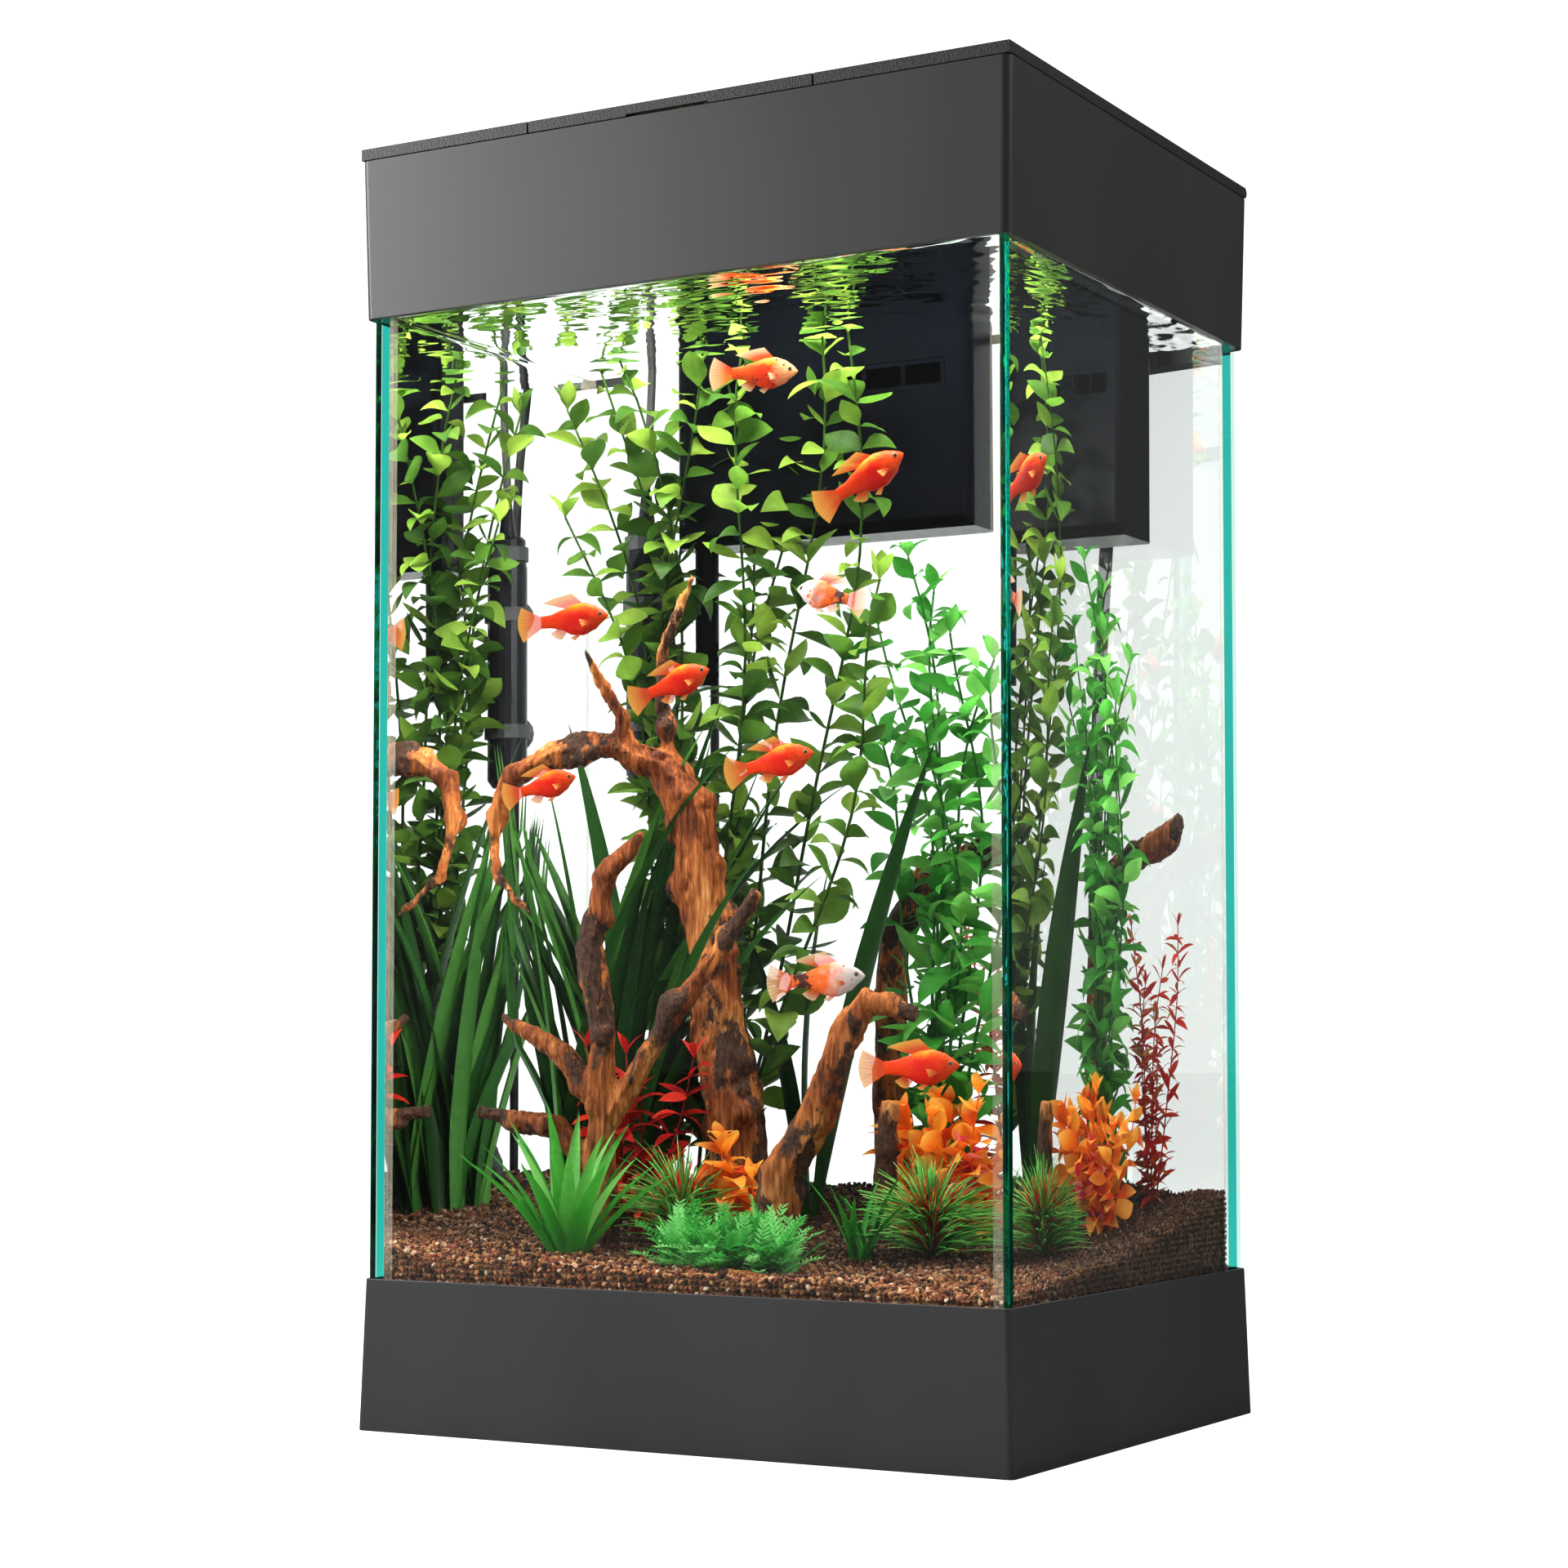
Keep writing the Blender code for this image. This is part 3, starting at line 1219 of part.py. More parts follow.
def planting():
    plant(
        "tall_stem_plant",
        LEAF_GREEN,
        ([(-95, 72, 110), (-106, 71, 330), (-118, 70, 545)], [8, 6, 3]),
        ([(-95, 72, 118), (-130, 84, 330), (-158, 92, 572)], [6, 6, 3]),
        ([(-95, 72, 118), (-74, 68, 340), (-48, 62, 590)], [6, 6, 3]),
        ([(-94, 72, 118), (-48, 66, 330), (-4, 64, 535)], [6, 6, 3]),
    )
    plant(
        "right_stem_plant",
        LEAF_GREEN,
        ([(60, 82, 110), (60, 80, 270), (62, 78, 450)], [8, 5, 3]),
        ([(60, 82, 118), (46, 80, 270), (36, 79, 430)], [6, 5, 3]),
        ([(60, 82, 118), (76, 84, 270), (92, 83, 415)], [6, 5, 3]),
    )
    plant(
        "grass_clump",
        DEEP_GREEN,
        ([(-132, 45, 105), (-130, 46, 250), (-126, 44, 385)], [10, 8, 3]),
        ([(-134, 45, 112), (-152, 43, 260), (-168, 38, 405)], [8, 7, 3]),
        ([(-130, 45, 112), (-114, 42, 220), (-98, 44, 320)], [8, 6, 3]),
    )
    blade = [(2, 60, 105), (26, 60, 200), (52, 60, 295), (70, 60, 358)]
    plant("broad_blade_plant", DEEP_GREEN, (blade, [6, 8, 6, 2]))
    bush("rosette_plant", BRIGHT_GREEN, (-86, -92), (90, 128, 158), [8, 15, 19])
    bush("red_leaf_plant", LEAF_RED, (-80, -6), (100, 150, 203), [6, 11, 9])
    bush("tuft_plant_left", BRIGHT_GREEN, (-42, -34), (95, 125, 155), [6, 12, 13])
    bush("tuft_plant_right", BRIGHT_GREEN, (98, -22), (90, 118, 148), [8, 17, 20])
    bush("orange_leaf_plant_left", LEAF_ORANGE, (-5, -16), (95, 125, 152), [5, 10, 9])
    plant(
        "fern_plant",
        BRIGHT_GREEN,
        ([(10, -98, 90), (10, -98, 108), (10, -98, 128)], [9, 18, 15]),
        ([(7, -98, 113), (-26, -97, 114)], [13, 12]),
        ([(13, -98, 110), (52, -99, 112)], [13, 11]),
    )
    plant(
        "orange_leaf_plant_right",
        LEAF_ORANGE,
        ([(86, 48, 100), (86, 48, 135), (88, 48, 175)], [7, 13, 10]),
        ([(88, 46, 118), (108, 38, 132), (124, 32, 160)], [7, 10, 9]),
    )
    plant(
        "red_strand_plant",
        LEAF_RED,
        ([(96, 110, 110), (84, 110, 190), (70, 110, 262)], [6, 5, 3]),
        ([(97, 110, 122), (122, 112, 180), (134, 114, 262)], [5, 6, 3]),
    )


# Fish


def fish(name, place, length, heading, pitch, finish):
    """A small fish along +X, with a fan tail, turned by heading about Z and tilted up by pitch."""
    shape = bmesh.new()
    bmesh.ops.create_uvsphere(
        shape, u_segments=8, v_segments=9, radius=1, matrix=Matrix.Rotation(math.pi / 2, 4, "Y")
    )
    for vert in shape.verts:
        along = vert.co.x
        ring = math.sqrt(max(1 - along * along, 0.0001))
        body = 0.30 * max(1 - abs(along - 0.25) ** 1.8, 0.12)
        fan = 0.26 * max(0.0, (-along - 0.62) / 0.38)
        tall = max(body, fan + 0.08) if along < -0.4 else body
        wide = 0.17 * max(1 - abs(along - 0.3) ** 1.6, 0.08)
        fuller = min(ring * 1.6, 1.0) / max(ring, 0.05) * ring**0.5
        vert.co.y *= wide * fuller
        vert.co.z *= tall * fuller
    made = mesh_object(name, shape)
    made.data.transform(Matrix.Scale(length / 2, 4))
    made.location = spot(*place)
    made.rotation_euler = (0, -math.radians(pitch), math.radians(heading))
    as_part(made, name, finish)


# Each fish: its place on the plan, its length, its heading, its tilt and its colour
SHOAL = [
    ((-13, 0, 553), 0.044, 12, -2, FISH_RED),
    ((50, 0, 490), 0.048, 20, 30, FISH_RED),
    ((33, 0, 431), 0.040, 168, 14, FISH_WHITE),
    ((-116, -35, 425), 0.046, 18, 4, FISH_RED),
    ((-52, -30, 387), 0.042, 22, 20, FISH_RED),
    ((8, -30, 343), 0.044, 15, 12, FISH_RED),
    ((-124, -50, 335), 0.038, 20, 14, FISH_RED),
    ((54, -78, 231), 0.046, 12, 4, FISH_WHITE),
    ((108, -84, 188), 0.046, 10, 2, FISH_RED),
]


def shoal():
    for number, (place, length, heading, pitch, finish) in enumerate(SHOAL, 1):
        fish(f"fish_{number}", place, length, heading, pitch, finish)


plinth()
tank()
hood()
lid()
lamp()
filter_unit()
cable(heater())
driftwood()
rock()
planting()
gravel(POCKETS)
shoal()
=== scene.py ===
# %% [markdown]
# # A tall planted aquarium on its plinth
# The tank, hood, lid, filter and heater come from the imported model, and this file gives them their
# finishes. It grows what a coarse solid can't show: water, gravel, driftwood, plants, fish and the lead.
# A planted tank could be one textured block, but every leaf and grain here is a real surface, because
# water and glass bend and mirror what lies behind them, and a flat picture would show at once.

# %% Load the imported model
import math
import random

import bmesh
import bpy
import numpy as np
from mathutils import Matrix, Vector, noise
from mathutils.bvhtree import BVHTree


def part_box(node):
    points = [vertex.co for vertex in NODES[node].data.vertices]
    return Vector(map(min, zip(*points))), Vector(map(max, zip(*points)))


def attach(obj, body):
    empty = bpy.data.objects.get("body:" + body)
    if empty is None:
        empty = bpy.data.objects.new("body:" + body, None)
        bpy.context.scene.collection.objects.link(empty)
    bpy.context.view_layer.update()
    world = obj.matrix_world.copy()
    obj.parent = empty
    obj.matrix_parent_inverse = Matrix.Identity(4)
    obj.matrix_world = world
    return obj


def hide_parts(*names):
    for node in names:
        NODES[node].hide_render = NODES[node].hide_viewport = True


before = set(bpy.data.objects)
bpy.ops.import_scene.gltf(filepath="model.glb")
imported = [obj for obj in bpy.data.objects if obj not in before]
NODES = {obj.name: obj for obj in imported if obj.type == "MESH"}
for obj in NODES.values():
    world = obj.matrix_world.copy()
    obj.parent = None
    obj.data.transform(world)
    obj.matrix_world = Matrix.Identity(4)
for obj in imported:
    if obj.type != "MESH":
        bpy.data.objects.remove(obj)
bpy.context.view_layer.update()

scene = bpy.context.scene

# %% [markdown]
# ## The camera
# The object is seen from the right of its front, a little above the plinth and looking slightly up, with
# a long lens. A wide lens from close by would also fit it in, but would splay the upright edges, so the
# camera stands about four heights away and a small upward shift keeps the uprights nearly parallel.

# %% Camera
def add_camera(place, turn_degrees, tilt_degrees, lens, shift_up):
    data = bpy.data.cameras.new("camera")
    data.lens = lens
    data.sensor_width = 36
    data.shift_y = shift_up
    data.clip_start, data.clip_end = 0.05, 50
    camera = bpy.data.objects.new("camera", data)
    camera.location = place
    camera.rotation_euler = (math.radians(90 + tilt_degrees), 0, math.radians(turn_degrees))
    scene.collection.objects.link(camera)
    scene.camera = camera


add_camera((0.8175, -1.4714, 0.2046), 29.61, 2.96, 72.56, 0.055)

# %% [markdown]
# ## Pieces and finishes
# A finish is a small tree of shader nodes. The trees could be clicked together one by one, but a few short
# helpers make each of them a handful of lines: one adds a node, one adds a colour ramp and one adds a bump.

# %% Helpers for finishes
def node(tree, kind, inputs=None, **settings):
    """A shader node of that kind: settings are its own, inputs are values or the sockets to link."""
    made = tree.nodes.new("ShaderNode" + kind)
    for key, value in settings.items():
        setattr(made, key, value)
    for key, value in (inputs or {}).items():
        if isinstance(value, bpy.types.NodeSocket):
            tree.links.new(value, made.inputs[key])
        else:
            made.inputs[key].default_value = value
    return made


def new_finish(name, roughness=0.5, **sockets):
    """A Principled finish, its node tree and its shader. Spaces in socket names are underscores here."""
    made = bpy.data.materials.new(name)
    made.use_nodes = True
    tree = made.node_tree
    shader = tree.nodes["Principled BSDF"]
    shader.inputs["Roughness"].default_value = roughness
    for key, value in sockets.items():
        shader.inputs[key.replace("_", " ")].default_value = value
    return made, tree, shader


def wet_finish(name, roughness=0.6, **sockets):
    """A finish for things under water, where a surface mirrors far less than it does in air."""
    return new_finish(name, roughness, Specular_IOR_Level=0.1, **sockets)


def plainly_seen(tree):
    """One where the eye looks straight at the surface, or through clear things, and nought for scattered light."""
    path = node(tree, "LightPath")
    straight = [path.outputs["Is Camera Ray"], path.outputs["Is Transmission Ray"]]
    seen = node(tree, "Math", {0: straight[0], 1: straight[1]}, operation="MAXIMUM").outputs[0]
    fresh = node(tree, "Math", {0: path.outputs["Diffuse Depth"], 1: 0.5}, operation="LESS_THAN").outputs[0]
    return node(tree, "Math", {0: seen, 1: fresh}, operation="MULTIPLY").outputs[0]


def mirrored_only(tree):
    """One for rays that bounced off something shiny. Rays through clear things count as shiny too, so those come off."""
    path = node(tree, "LightPath")
    both = {0: path.outputs["Is Glossy Ray"], 1: path.outputs["Is Transmission Ray"]}
    return node(tree, "Math", both, operation="GREATER_THAN").outputs[0]


def ramp(tree, factor, *stops):
    """A colour ramp on factor: each stop is (position, (r, g, b))."""
    made = node(tree, "ValToRGB", {"Fac": factor})
    band = made.color_ramp
    while len(band.elements) < len(stops):
        band.elements.new(0.5)
    for element, (position, colour) in zip(band.elements, stops):
        element.position = position
        element.color = (*colour, 1)
    return made.outputs["Color"]


def place_in(tree, stretch=(1, 1, 1)):
    """The object's own coordinates, stretched."""
    coordinates = node(tree, "TexCoord").outputs["Object"]
    return node(tree, "Mapping", {"Vector": coordinates, "Scale": stretch}).outputs["Vector"]


def grain(tree, scale, detail=3.0, stretch=(1, 1, 1), rough=0.55):
    """Noise of that many features a metre."""
    where = place_in(tree, stretch)
    made = node(tree, "TexNoise", {"Vector": where, "Scale": scale, "Detail": detail, "Roughness": rough})
    return made.outputs["Fac"]


def cells(tree, scale, feature="F1", output="Distance", stretch=(1, 1, 1)):
    made = node(tree, "TexVoronoi", {"Vector": place_in(tree, stretch), "Scale": scale}, feature=feature)
    return made.outputs[output]


def bump(tree, shader, height, distance, strength=1.0):
    made = node(tree, "Bump", {"Height": height, "Distance": distance, "Strength": strength})
    tree.links.new(made.outputs["Normal"], shader.inputs["Normal"])
    return made


def between(tree, value, low, high):
    """Value from 0 to 1, brought between low and high."""
    return node(tree, "MapRange", {"Value": value, "To Min": low, "To Max": high}).outputs["Result"]


def wear(node_name, finish):
    """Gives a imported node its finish."""
    slots = NODES[node_name].data.materials
    slots.clear()
    slots.append(finish)


def add_piece(name, mesh, finish, stands_for=()):
    """A new piece that rides on the root body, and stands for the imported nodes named."""
    piece = bpy.data.objects.new(name, mesh)
    if not mesh.materials:
        mesh.materials.append(finish)
    scene.collection.objects.link(piece)
    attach(piece, "root")
    if stands_for:
        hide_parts(*stands_for)
    return piece


# %% [markdown]
# ## The heater's lead
# The lead leaves the heater's boot, goes over the rear rim through the notch, falls behind the tank, and its
# spare length lies in a coil behind the plinth. It could be drawn as one free curve, but a coil drawn by hand
# never keeps its turns a lead's width apart. So the part that hangs follows listed points, and a loop
# works out the turns.

# %% The lead
LEAD_DIAMETER = 0.005
LEAD_ROUTE = [
    (-0.1310, 0.1210, 0.5126),
    (-0.1305, 0.1213, 0.5300),
    (-0.1290, 0.1220, 0.5500),
    (-0.1280, 0.1225, 0.5700),
    (-0.1275, 0.1232, 0.5850),
    (-0.1270, 0.1278, 0.5987),
    (-0.1265, 0.1355, 0.6045),
    (-0.1255, 0.1440, 0.6062),
    (-0.1240, 0.1530, 0.6036),
    (-0.1220, 0.1608, 0.5965),
    (-0.1190, 0.1650, 0.5850),
    (-0.1160, 0.1658, 0.5650),
    (-0.1125, 0.1658, 0.5350),
    (-0.1105, 0.1656, 0.4900),
    (-0.1100, 0.1655, 0.4200),
    (-0.1100, 0.1655, 0.3300),
    (-0.1100, 0.1656, 0.2400),
    (-0.1100, 0.1658, 0.1500),
    (-0.1100, 0.1662, 0.0800),
    (-0.1098, 0.1690, 0.0450),
    (-0.1090, 0.1765, 0.0220),
    (-0.1075, 0.1890, 0.0075),
    (-0.1055, 0.2050, 0.0029),
    (-0.1045, 0.2200, 0.0028),
]


def smooth_route(points, spacing):
    """Evenly spaced points along a smooth curve through the given ones."""
    route = [Vector(p) for p in points]
    ends = [2 * route[0] - route[1], *route, 2 * route[-1] - route[-2]]
    fine = []
    for before, here, there, after in zip(ends, ends[1:], ends[2:], ends[3:]):
        for step in range(24):
            t = step / 24
            line = 2 * here + (there - before) * t
            bend = (2 * before - 5 * here + 4 * there - after) * t * t
            turn = (3 * here - before - 3 * there + after) * t * t * t
            fine.append((line + bend + turn) / 2)
    fine.append(route[-1])
    travelled = [0.0]
    for a, b in zip(fine, fine[1:]):
        travelled.append(travelled[-1] + (b - a).length)
    count = max(2, round(travelled[-1] / spacing))
    even, at = [], 0
    for i in range(count + 1):
        wanted = travelled[-1] * i / count
        while at < len(fine) - 2 and travelled[at + 1] < wanted:
            at += 1
        share = (wanted - travelled[at]) / max(travelled[at + 1] - travelled[at], 1e-9)
        even.append(fine[at].lerp(fine[at + 1], share))
    return even


def eased(x):
    x = min(max(x, 0.0), 1.0)
    return x * x * (3 - 2 * x)


def coil_turns(centre, outer, floor_z, turns, wide=3):
    """Clockwise turns from the left side: inward on the floor, up, then outward on top.

    Each step sideways or up takes a tenth of a turn, and no two neighbours step towards each other.
    """
    arc, per_turn = 0.1, 36
    points = []
    for step in range(1, round(turns * per_turn) + 1):
        turn = step / per_turn
        done, share = divmod(turn, 1)
        if turn < wide:
            inward = done - 1 + eased(share / arc) if done else 0
        else:
            outward = done - wide - 1 + eased(share / arc - 1) if done > wide else 0
            inward = wide - 1 - outward
        radius = outer - LEAD_DIAMETER * inward
        z = floor_z + LEAD_DIAMETER * eased((turn - wide) / arc + 1)
        angle = math.pi - 2 * math.pi * turn
        points.append(centre + Vector((radius * math.cos(angle), radius * math.sin(angle), z)))
    return points


sleeve_low, sleeve_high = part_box("heater_cap")
ring_low, ring_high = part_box("cable_coil")
plug_low, plug_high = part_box("heater_plug")
LEAD_EXIT = Vector(((sleeve_low.x + sleeve_high.x) / 2, (sleeve_low.y + sleeve_high.y) / 2, sleeve_high.z))
FLOOR_TURN_Z = 0.0028
hanging = smooth_route([LEAD_EXIT + Vector((0, 0, 0.0003)), *LEAD_ROUTE[1:]], 0.006)
ring_radius = (ring_high.x - ring_low.x) / 2
ring_middle = Vector(((ring_low.x + ring_high.x) / 2, ring_high.y - ring_radius, 0))
wound = coil_turns(ring_middle, ring_radius - LEAD_DIAMETER / 2, FLOOR_TURN_Z, turns=5.25)
boot_end = Vector((plug_low.x - 0.0003, (plug_low.y + plug_high.y) / 2, wound[-1].z))

lead_curve = bpy.data.curves.new("heater_lead", "CURVE")
lead_curve.dimensions = "3D"
lead_curve.bevel_depth = LEAD_DIAMETER / 2
lead_curve.bevel_resolution = 4
lead_curve.use_fill_caps = True
line = lead_curve.splines.new("POLY")
lead_points = [*hanging, *wound, boot_end]
line.points.add(len(lead_points) - 1)
for point, place in zip(line.points, lead_points):
    point.co = (*place, 1)

# %% [markdown]
# Soft rubber and moulded plastic differ in how they catch the light: rubber is dull and a little dusty, and
# plastic has a satin skin with a fine grain. Both are nearly black, so nearly all that the eye reads is the
# reflection, and the roughness and the bump do the work. A single black would look like a hole.

# %% Black finishes
def black_finish(name, colour, roughness, grain_scale, grain_depth, streaks=0.0, mirror=0.5):
    made, tree, shader = new_finish(name, roughness, Specular_IOR_Level=mirror)
    fine = grain(tree, grain_scale, 2)
    cloudy = grain(tree, 9, 2, (1, 1, 0.35))
    shade = ramp(tree, cloudy, (0.3, [c * (1 - streaks) for c in colour]), (0.7, [c * (1 + streaks) for c in colour]))
    tree.links.new(shade, shader.inputs["Base Color"])
    tree.links.new(between(tree, cloudy, roughness - 0.04, roughness + 0.05), shader.inputs["Roughness"])
    bump(tree, shader, fine, grain_depth)
    return made


SATIN = black_finish("satin_black", (0.029, 0.0295, 0.0305), 0.42, 2600, 0.00003, 0.12)
GRAINED = black_finish("grained_black", (0.016, 0.016, 0.017), 0.5, 1100, 0.00025, 0.1)
FILTER_BLACK = black_finish("filter_plastic", (0.0007, 0.0011, 0.0020), 0.22, 1800, 0.00004, 0.2, 0.03)
RUBBER = black_finish("black_rubber", (0.016, 0.016, 0.016), 0.62, 3000, 0.00006, 0.15)
SLEEVE = black_finish("heater_black", (0.006, 0.006, 0.008), 0.16, 900, 0.00001, 0.1, 0.1)

lead = bpy.data.objects.new("heater_lead", lead_curve)
lead_curve.materials.append(RUBBER)
scene.collection.objects.link(lead)
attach(lead, "root")
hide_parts("heater_cable", "cable_coil")

for name in ("stand_skirt", "stand_deck", "hood_skirt", "lamp_housing", "light_switch", "lamp_inlet"):
    wear(name, SATIN)
for name in ("lid_panel", "feeding_door"):
    wear(name, GRAINED)
for name in ("filter_case", "outlet_grille", "pump_housing", "intake_tube"):
    wear(name, FILTER_BLACK)
for name in ("filter_bracket", "heater_holder", "heater_dial", "heater_plug"):
    wear(name, RUBBER)
for name in ("heater_tube", "heater_cap"):
    wear(name, SLEEVE)

# %% [markdown]
# The hood and the plinth are thin moulded boxes, and their edges are a little round, which shows as a bright
# line along each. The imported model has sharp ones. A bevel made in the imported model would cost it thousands
# of triangles, so a Weld and a Bevel modifier round them here without moving a face.

# %% Rounded edges
def round_edges(node_name, width, segments=3, angle=40):
    piece = NODES[node_name]
    weld = piece.modifiers.new("weld", "WELD")
    weld.merge_threshold = 0.00002
    bevel = piece.modifiers.new("edge", "BEVEL")
    bevel.width = width
    bevel.segments = segments
    bevel.limit_method = "ANGLE"
    bevel.angle_limit = math.radians(angle)
    bevel.use_clamp_overlap = True
    even = piece.modifiers.new("normals", "WEIGHTED_NORMAL")
    even.weight = 100


for name, width in (
    ("hood_skirt", 0.0009),
    ("stand_skirt", 0.0007),
    ("lid_panel", 0.0022),
    ("feeding_door", 0.0009),
    ("filter_case", 0.0008),
    ("lamp_housing", 0.0006),
    ("light_switch", 0.0004),
):
    round_edges(name, width)

# %% [markdown]
# ## Glass, silicone and water
# Sheet glass is clear across its faces and sea green through its cut edges. Real glass does that with a little
# iron, which needs a long way through the pane to show. Tracing that needs many bounces, so the finish is clear
# where the surface faces along the pane's thin axis and green where it doesn't. Light reaches the plants
# through glass and water, so a shadow ray passes both: without that the inside would be dark and noisy.

# %% Glass
FACE_CLEAR = (0.985, 0.997, 0.992)
EDGE_GREEN = (0.02, 0.42, 0.36)
PALE_EDGE = (0.55, 0.80, 0.74)


def let_shadows_through(tree, body):
    """Ends a finish: shadow rays pass, and all others meet the body."""
    shadow = node(tree, "LightPath").outputs["Is Shadow Ray"]
    clear = node(tree, "BsdfTransparent")
    mixed = node(tree, "MixShader", {0: shadow, 1: body, 2: clear.outputs[0]})
    tree.links.new(mixed.outputs[0], tree.nodes["Material Output"].inputs["Surface"])


def empty_finish(name):
    made = bpy.data.materials.new(name)
    made.use_nodes = True
    made.node_tree.nodes.remove(made.node_tree.nodes["Principled BSDF"])
    return made, made.node_tree


def pane_finish(name, thin_axis, outward, edge_colour=EDGE_GREEN):
    """Clear and mirroring on the face that looks outward, clear on the inner one, and green on the edges."""
    made, tree = empty_finish(name)
    place = node(tree, "NewGeometry")
    parts = node(tree, "SeparateXYZ", {"Vector": place.outputs["True Normal"]})
    side = node(tree, "Math", {0: parts.outputs[thin_axis], 1: outward}, operation="MULTIPLY").outputs[0]
    off_edge = node(tree, "Math", {0: side}, operation="ABSOLUTE").outputs[0]
    is_face = node(tree, "Math", {0: off_edge, 1: 0.5}, operation="GREATER_THAN").outputs[0]
    is_outer = node(tree, "Math", {0: side, 1: 0.5}, operation="GREATER_THAN").outputs[0]
    from_air = node(tree, "Math", {0: is_outer, 1: place.outputs["Backfacing"]}, operation="SUBTRACT").outputs[0]
    share = node(tree, "Math", {0: node(tree, "Fresnel", {"IOR": 1.5}).outputs[0], 1: from_air}, operation="MULTIPLY", use_clamp=True)
    clear = node(tree, "BsdfTransparent", {"Color": (*FACE_CLEAR, 1)})
    mirror = node(tree, "BsdfGlossy", {"Roughness": 0.0})
    face = node(tree, "MixShader", {0: share.outputs[0], 1: clear.outputs[0], 2: mirror.outputs[0]})
    edge = node(tree, "BsdfGlass", {"Roughness": 0.05, "IOR": 1.5, "Color": (*edge_colour, 1)})
    body = node(tree, "MixShader", {0: is_face, 1: edge.outputs[0], 2: face.outputs[0]})
    let_shadows_through(tree, body.outputs[0])
    return made


for name, axis, outward in (
    ("glass_front", "Y", -1),
    ("glass_back", "Y", 1),
    ("glass_left", "X", -1),
    ("glass_right", "X", 1),
    ("glass_bottom", "Z", -1),
):
    wear(name, pane_finish(name, axis, outward, PALE_EDGE if name == "glass_back" else EDGE_GREEN))

SEAL, tree, shader = wet_finish("clear_silicone", 0.35, Base_Color=(0.80, 0.74, 0.58, 1))
bump(tree, shader, grain(tree, 300, 2), 0.0002)
cloud = between(tree, grain(tree, 120, 2), 0.06, 0.18)
milky = node(tree, "MixShader", {0: cloud, 1: node(tree, "BsdfTransparent").outputs[0], 2: shader.outputs[0]})
tree.links.new(milky.outputs[0], tree.nodes["Material Output"].inputs["Surface"])
wear("silicone_seal", SEAL)

# %% [markdown]
# The water is one closed body a hair's breadth inside the glass. Its top carries the filter's ripples. Seen
# from below, that top is a mirror that bends what it shows, and it is the main sign that the tank is full. A
# flat top would mirror everything too neatly, so a few crossing waves and some noise move it.

# %% Water
WATER_TOP = 0.5812
WATER_OFF_GLASS = 0.00015
RIPPLE = 0.0009
left_low, left_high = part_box("glass_left")
right_low, right_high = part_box("glass_right")
front_low, front_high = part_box("glass_front")
back_low, back_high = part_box("glass_back")
floor_low, floor_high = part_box("glass_bottom")
INSIDE_LOW = Vector((left_high.x, front_high.y, floor_high.z))
INSIDE_HIGH = Vector((right_low.x, back_low.y, right_high.z))


def ripple(x, y):
    spread = math.hypot(x - 0.02, y - 0.09)
    wave = 0.45 * math.sin(spread * 260) * math.exp(-spread * 9) + 0.3 * math.sin(x * 95 + y * 60)
    drift = noise.noise(Vector((x * 34, y * 52, 0.3))) + 0.5 * noise.noise(Vector((x * 90, y * 120, 2.7)))
    edge = min(INSIDE_HIGH.x - abs(x), INSIDE_HIGH.y - abs(y))
    strength = 0.12 + 0.95 * min(max((x - INSIDE_LOW.x) / (INSIDE_HIGH.x - INSIDE_LOW.x), 0), 1)
    return RIPPLE * strength * (wave + 1.1 * drift) + 0.0012 * math.exp(-max(edge, 0) / 0.002)


def water_body():
    shape = bmesh.new()
    bmesh.ops.create_grid(shape, x_segments=150, y_segments=120, size=1)
    half_x, half_y = INSIDE_HIGH.x - WATER_OFF_GLASS, INSIDE_HIGH.y - WATER_OFF_GLASS
    for vert in shape.verts:
        vert.co.x *= half_x
        vert.co.y *= half_y
        vert.co.z = WATER_TOP + ripple(vert.co.x, vert.co.y)
    down = bmesh.ops.extrude_face_region(shape, geom=shape.faces[:])
    for vert in (item for item in down["geom"] if isinstance(item, bmesh.types.BMVert)):
        vert.co.z = INSIDE_LOW.z + WATER_OFF_GLASS
    bmesh.ops.recalc_face_normals(shape, faces=shape.faces[:])
    for face in shape.faces:
        face.smooth = abs(face.normal.z) > 0.9 and face.calc_center_median().z > WATER_TOP - 0.01
    mesh = bpy.data.meshes.new("water")
    shape.to_mesh(mesh)
    shape.free()
    return mesh


WATER, tree = empty_finish("water")
wet = node(tree, "BsdfGlass", {"Roughness": 0.0, "IOR": 1.333, "Color": (0.992, 0.999, 0.995, 1)})
let_shadows_through(tree, wet.outputs[0])
add_piece("water", water_body(), WATER)
print("inside of the tank", INSIDE_LOW, INSIDE_HIGH)

# %% [markdown]
# ## Gravel
# The bed is natural grit, two to three millimetres across, of brown, rust, cream and near-black grains. A bumpy
# sheet with a spotted finish passes from afar, but its edge against the glass would be a straight line. So the
# bed's core is a sheet, and thousands of small stones lie on its top and against the front and right panes.

# %% Gravel bed
random.seed(7)
GRAIN = 0.0017
bed_low, bed_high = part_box("gravel_bed")
bed_tree = BVHTree.FromPolygons(
    [v.co.copy() for v in NODES["gravel_bed"].data.vertices],
    [tuple(p.vertices) for p in NODES["gravel_bed"].data.polygons],
)


def cad_bed(x, y):
    hit = bed_tree.ray_cast(Vector((x, y, 1)), Vector((0, 0, -1)))[0]
    return hit.z if hit else bed_low.z


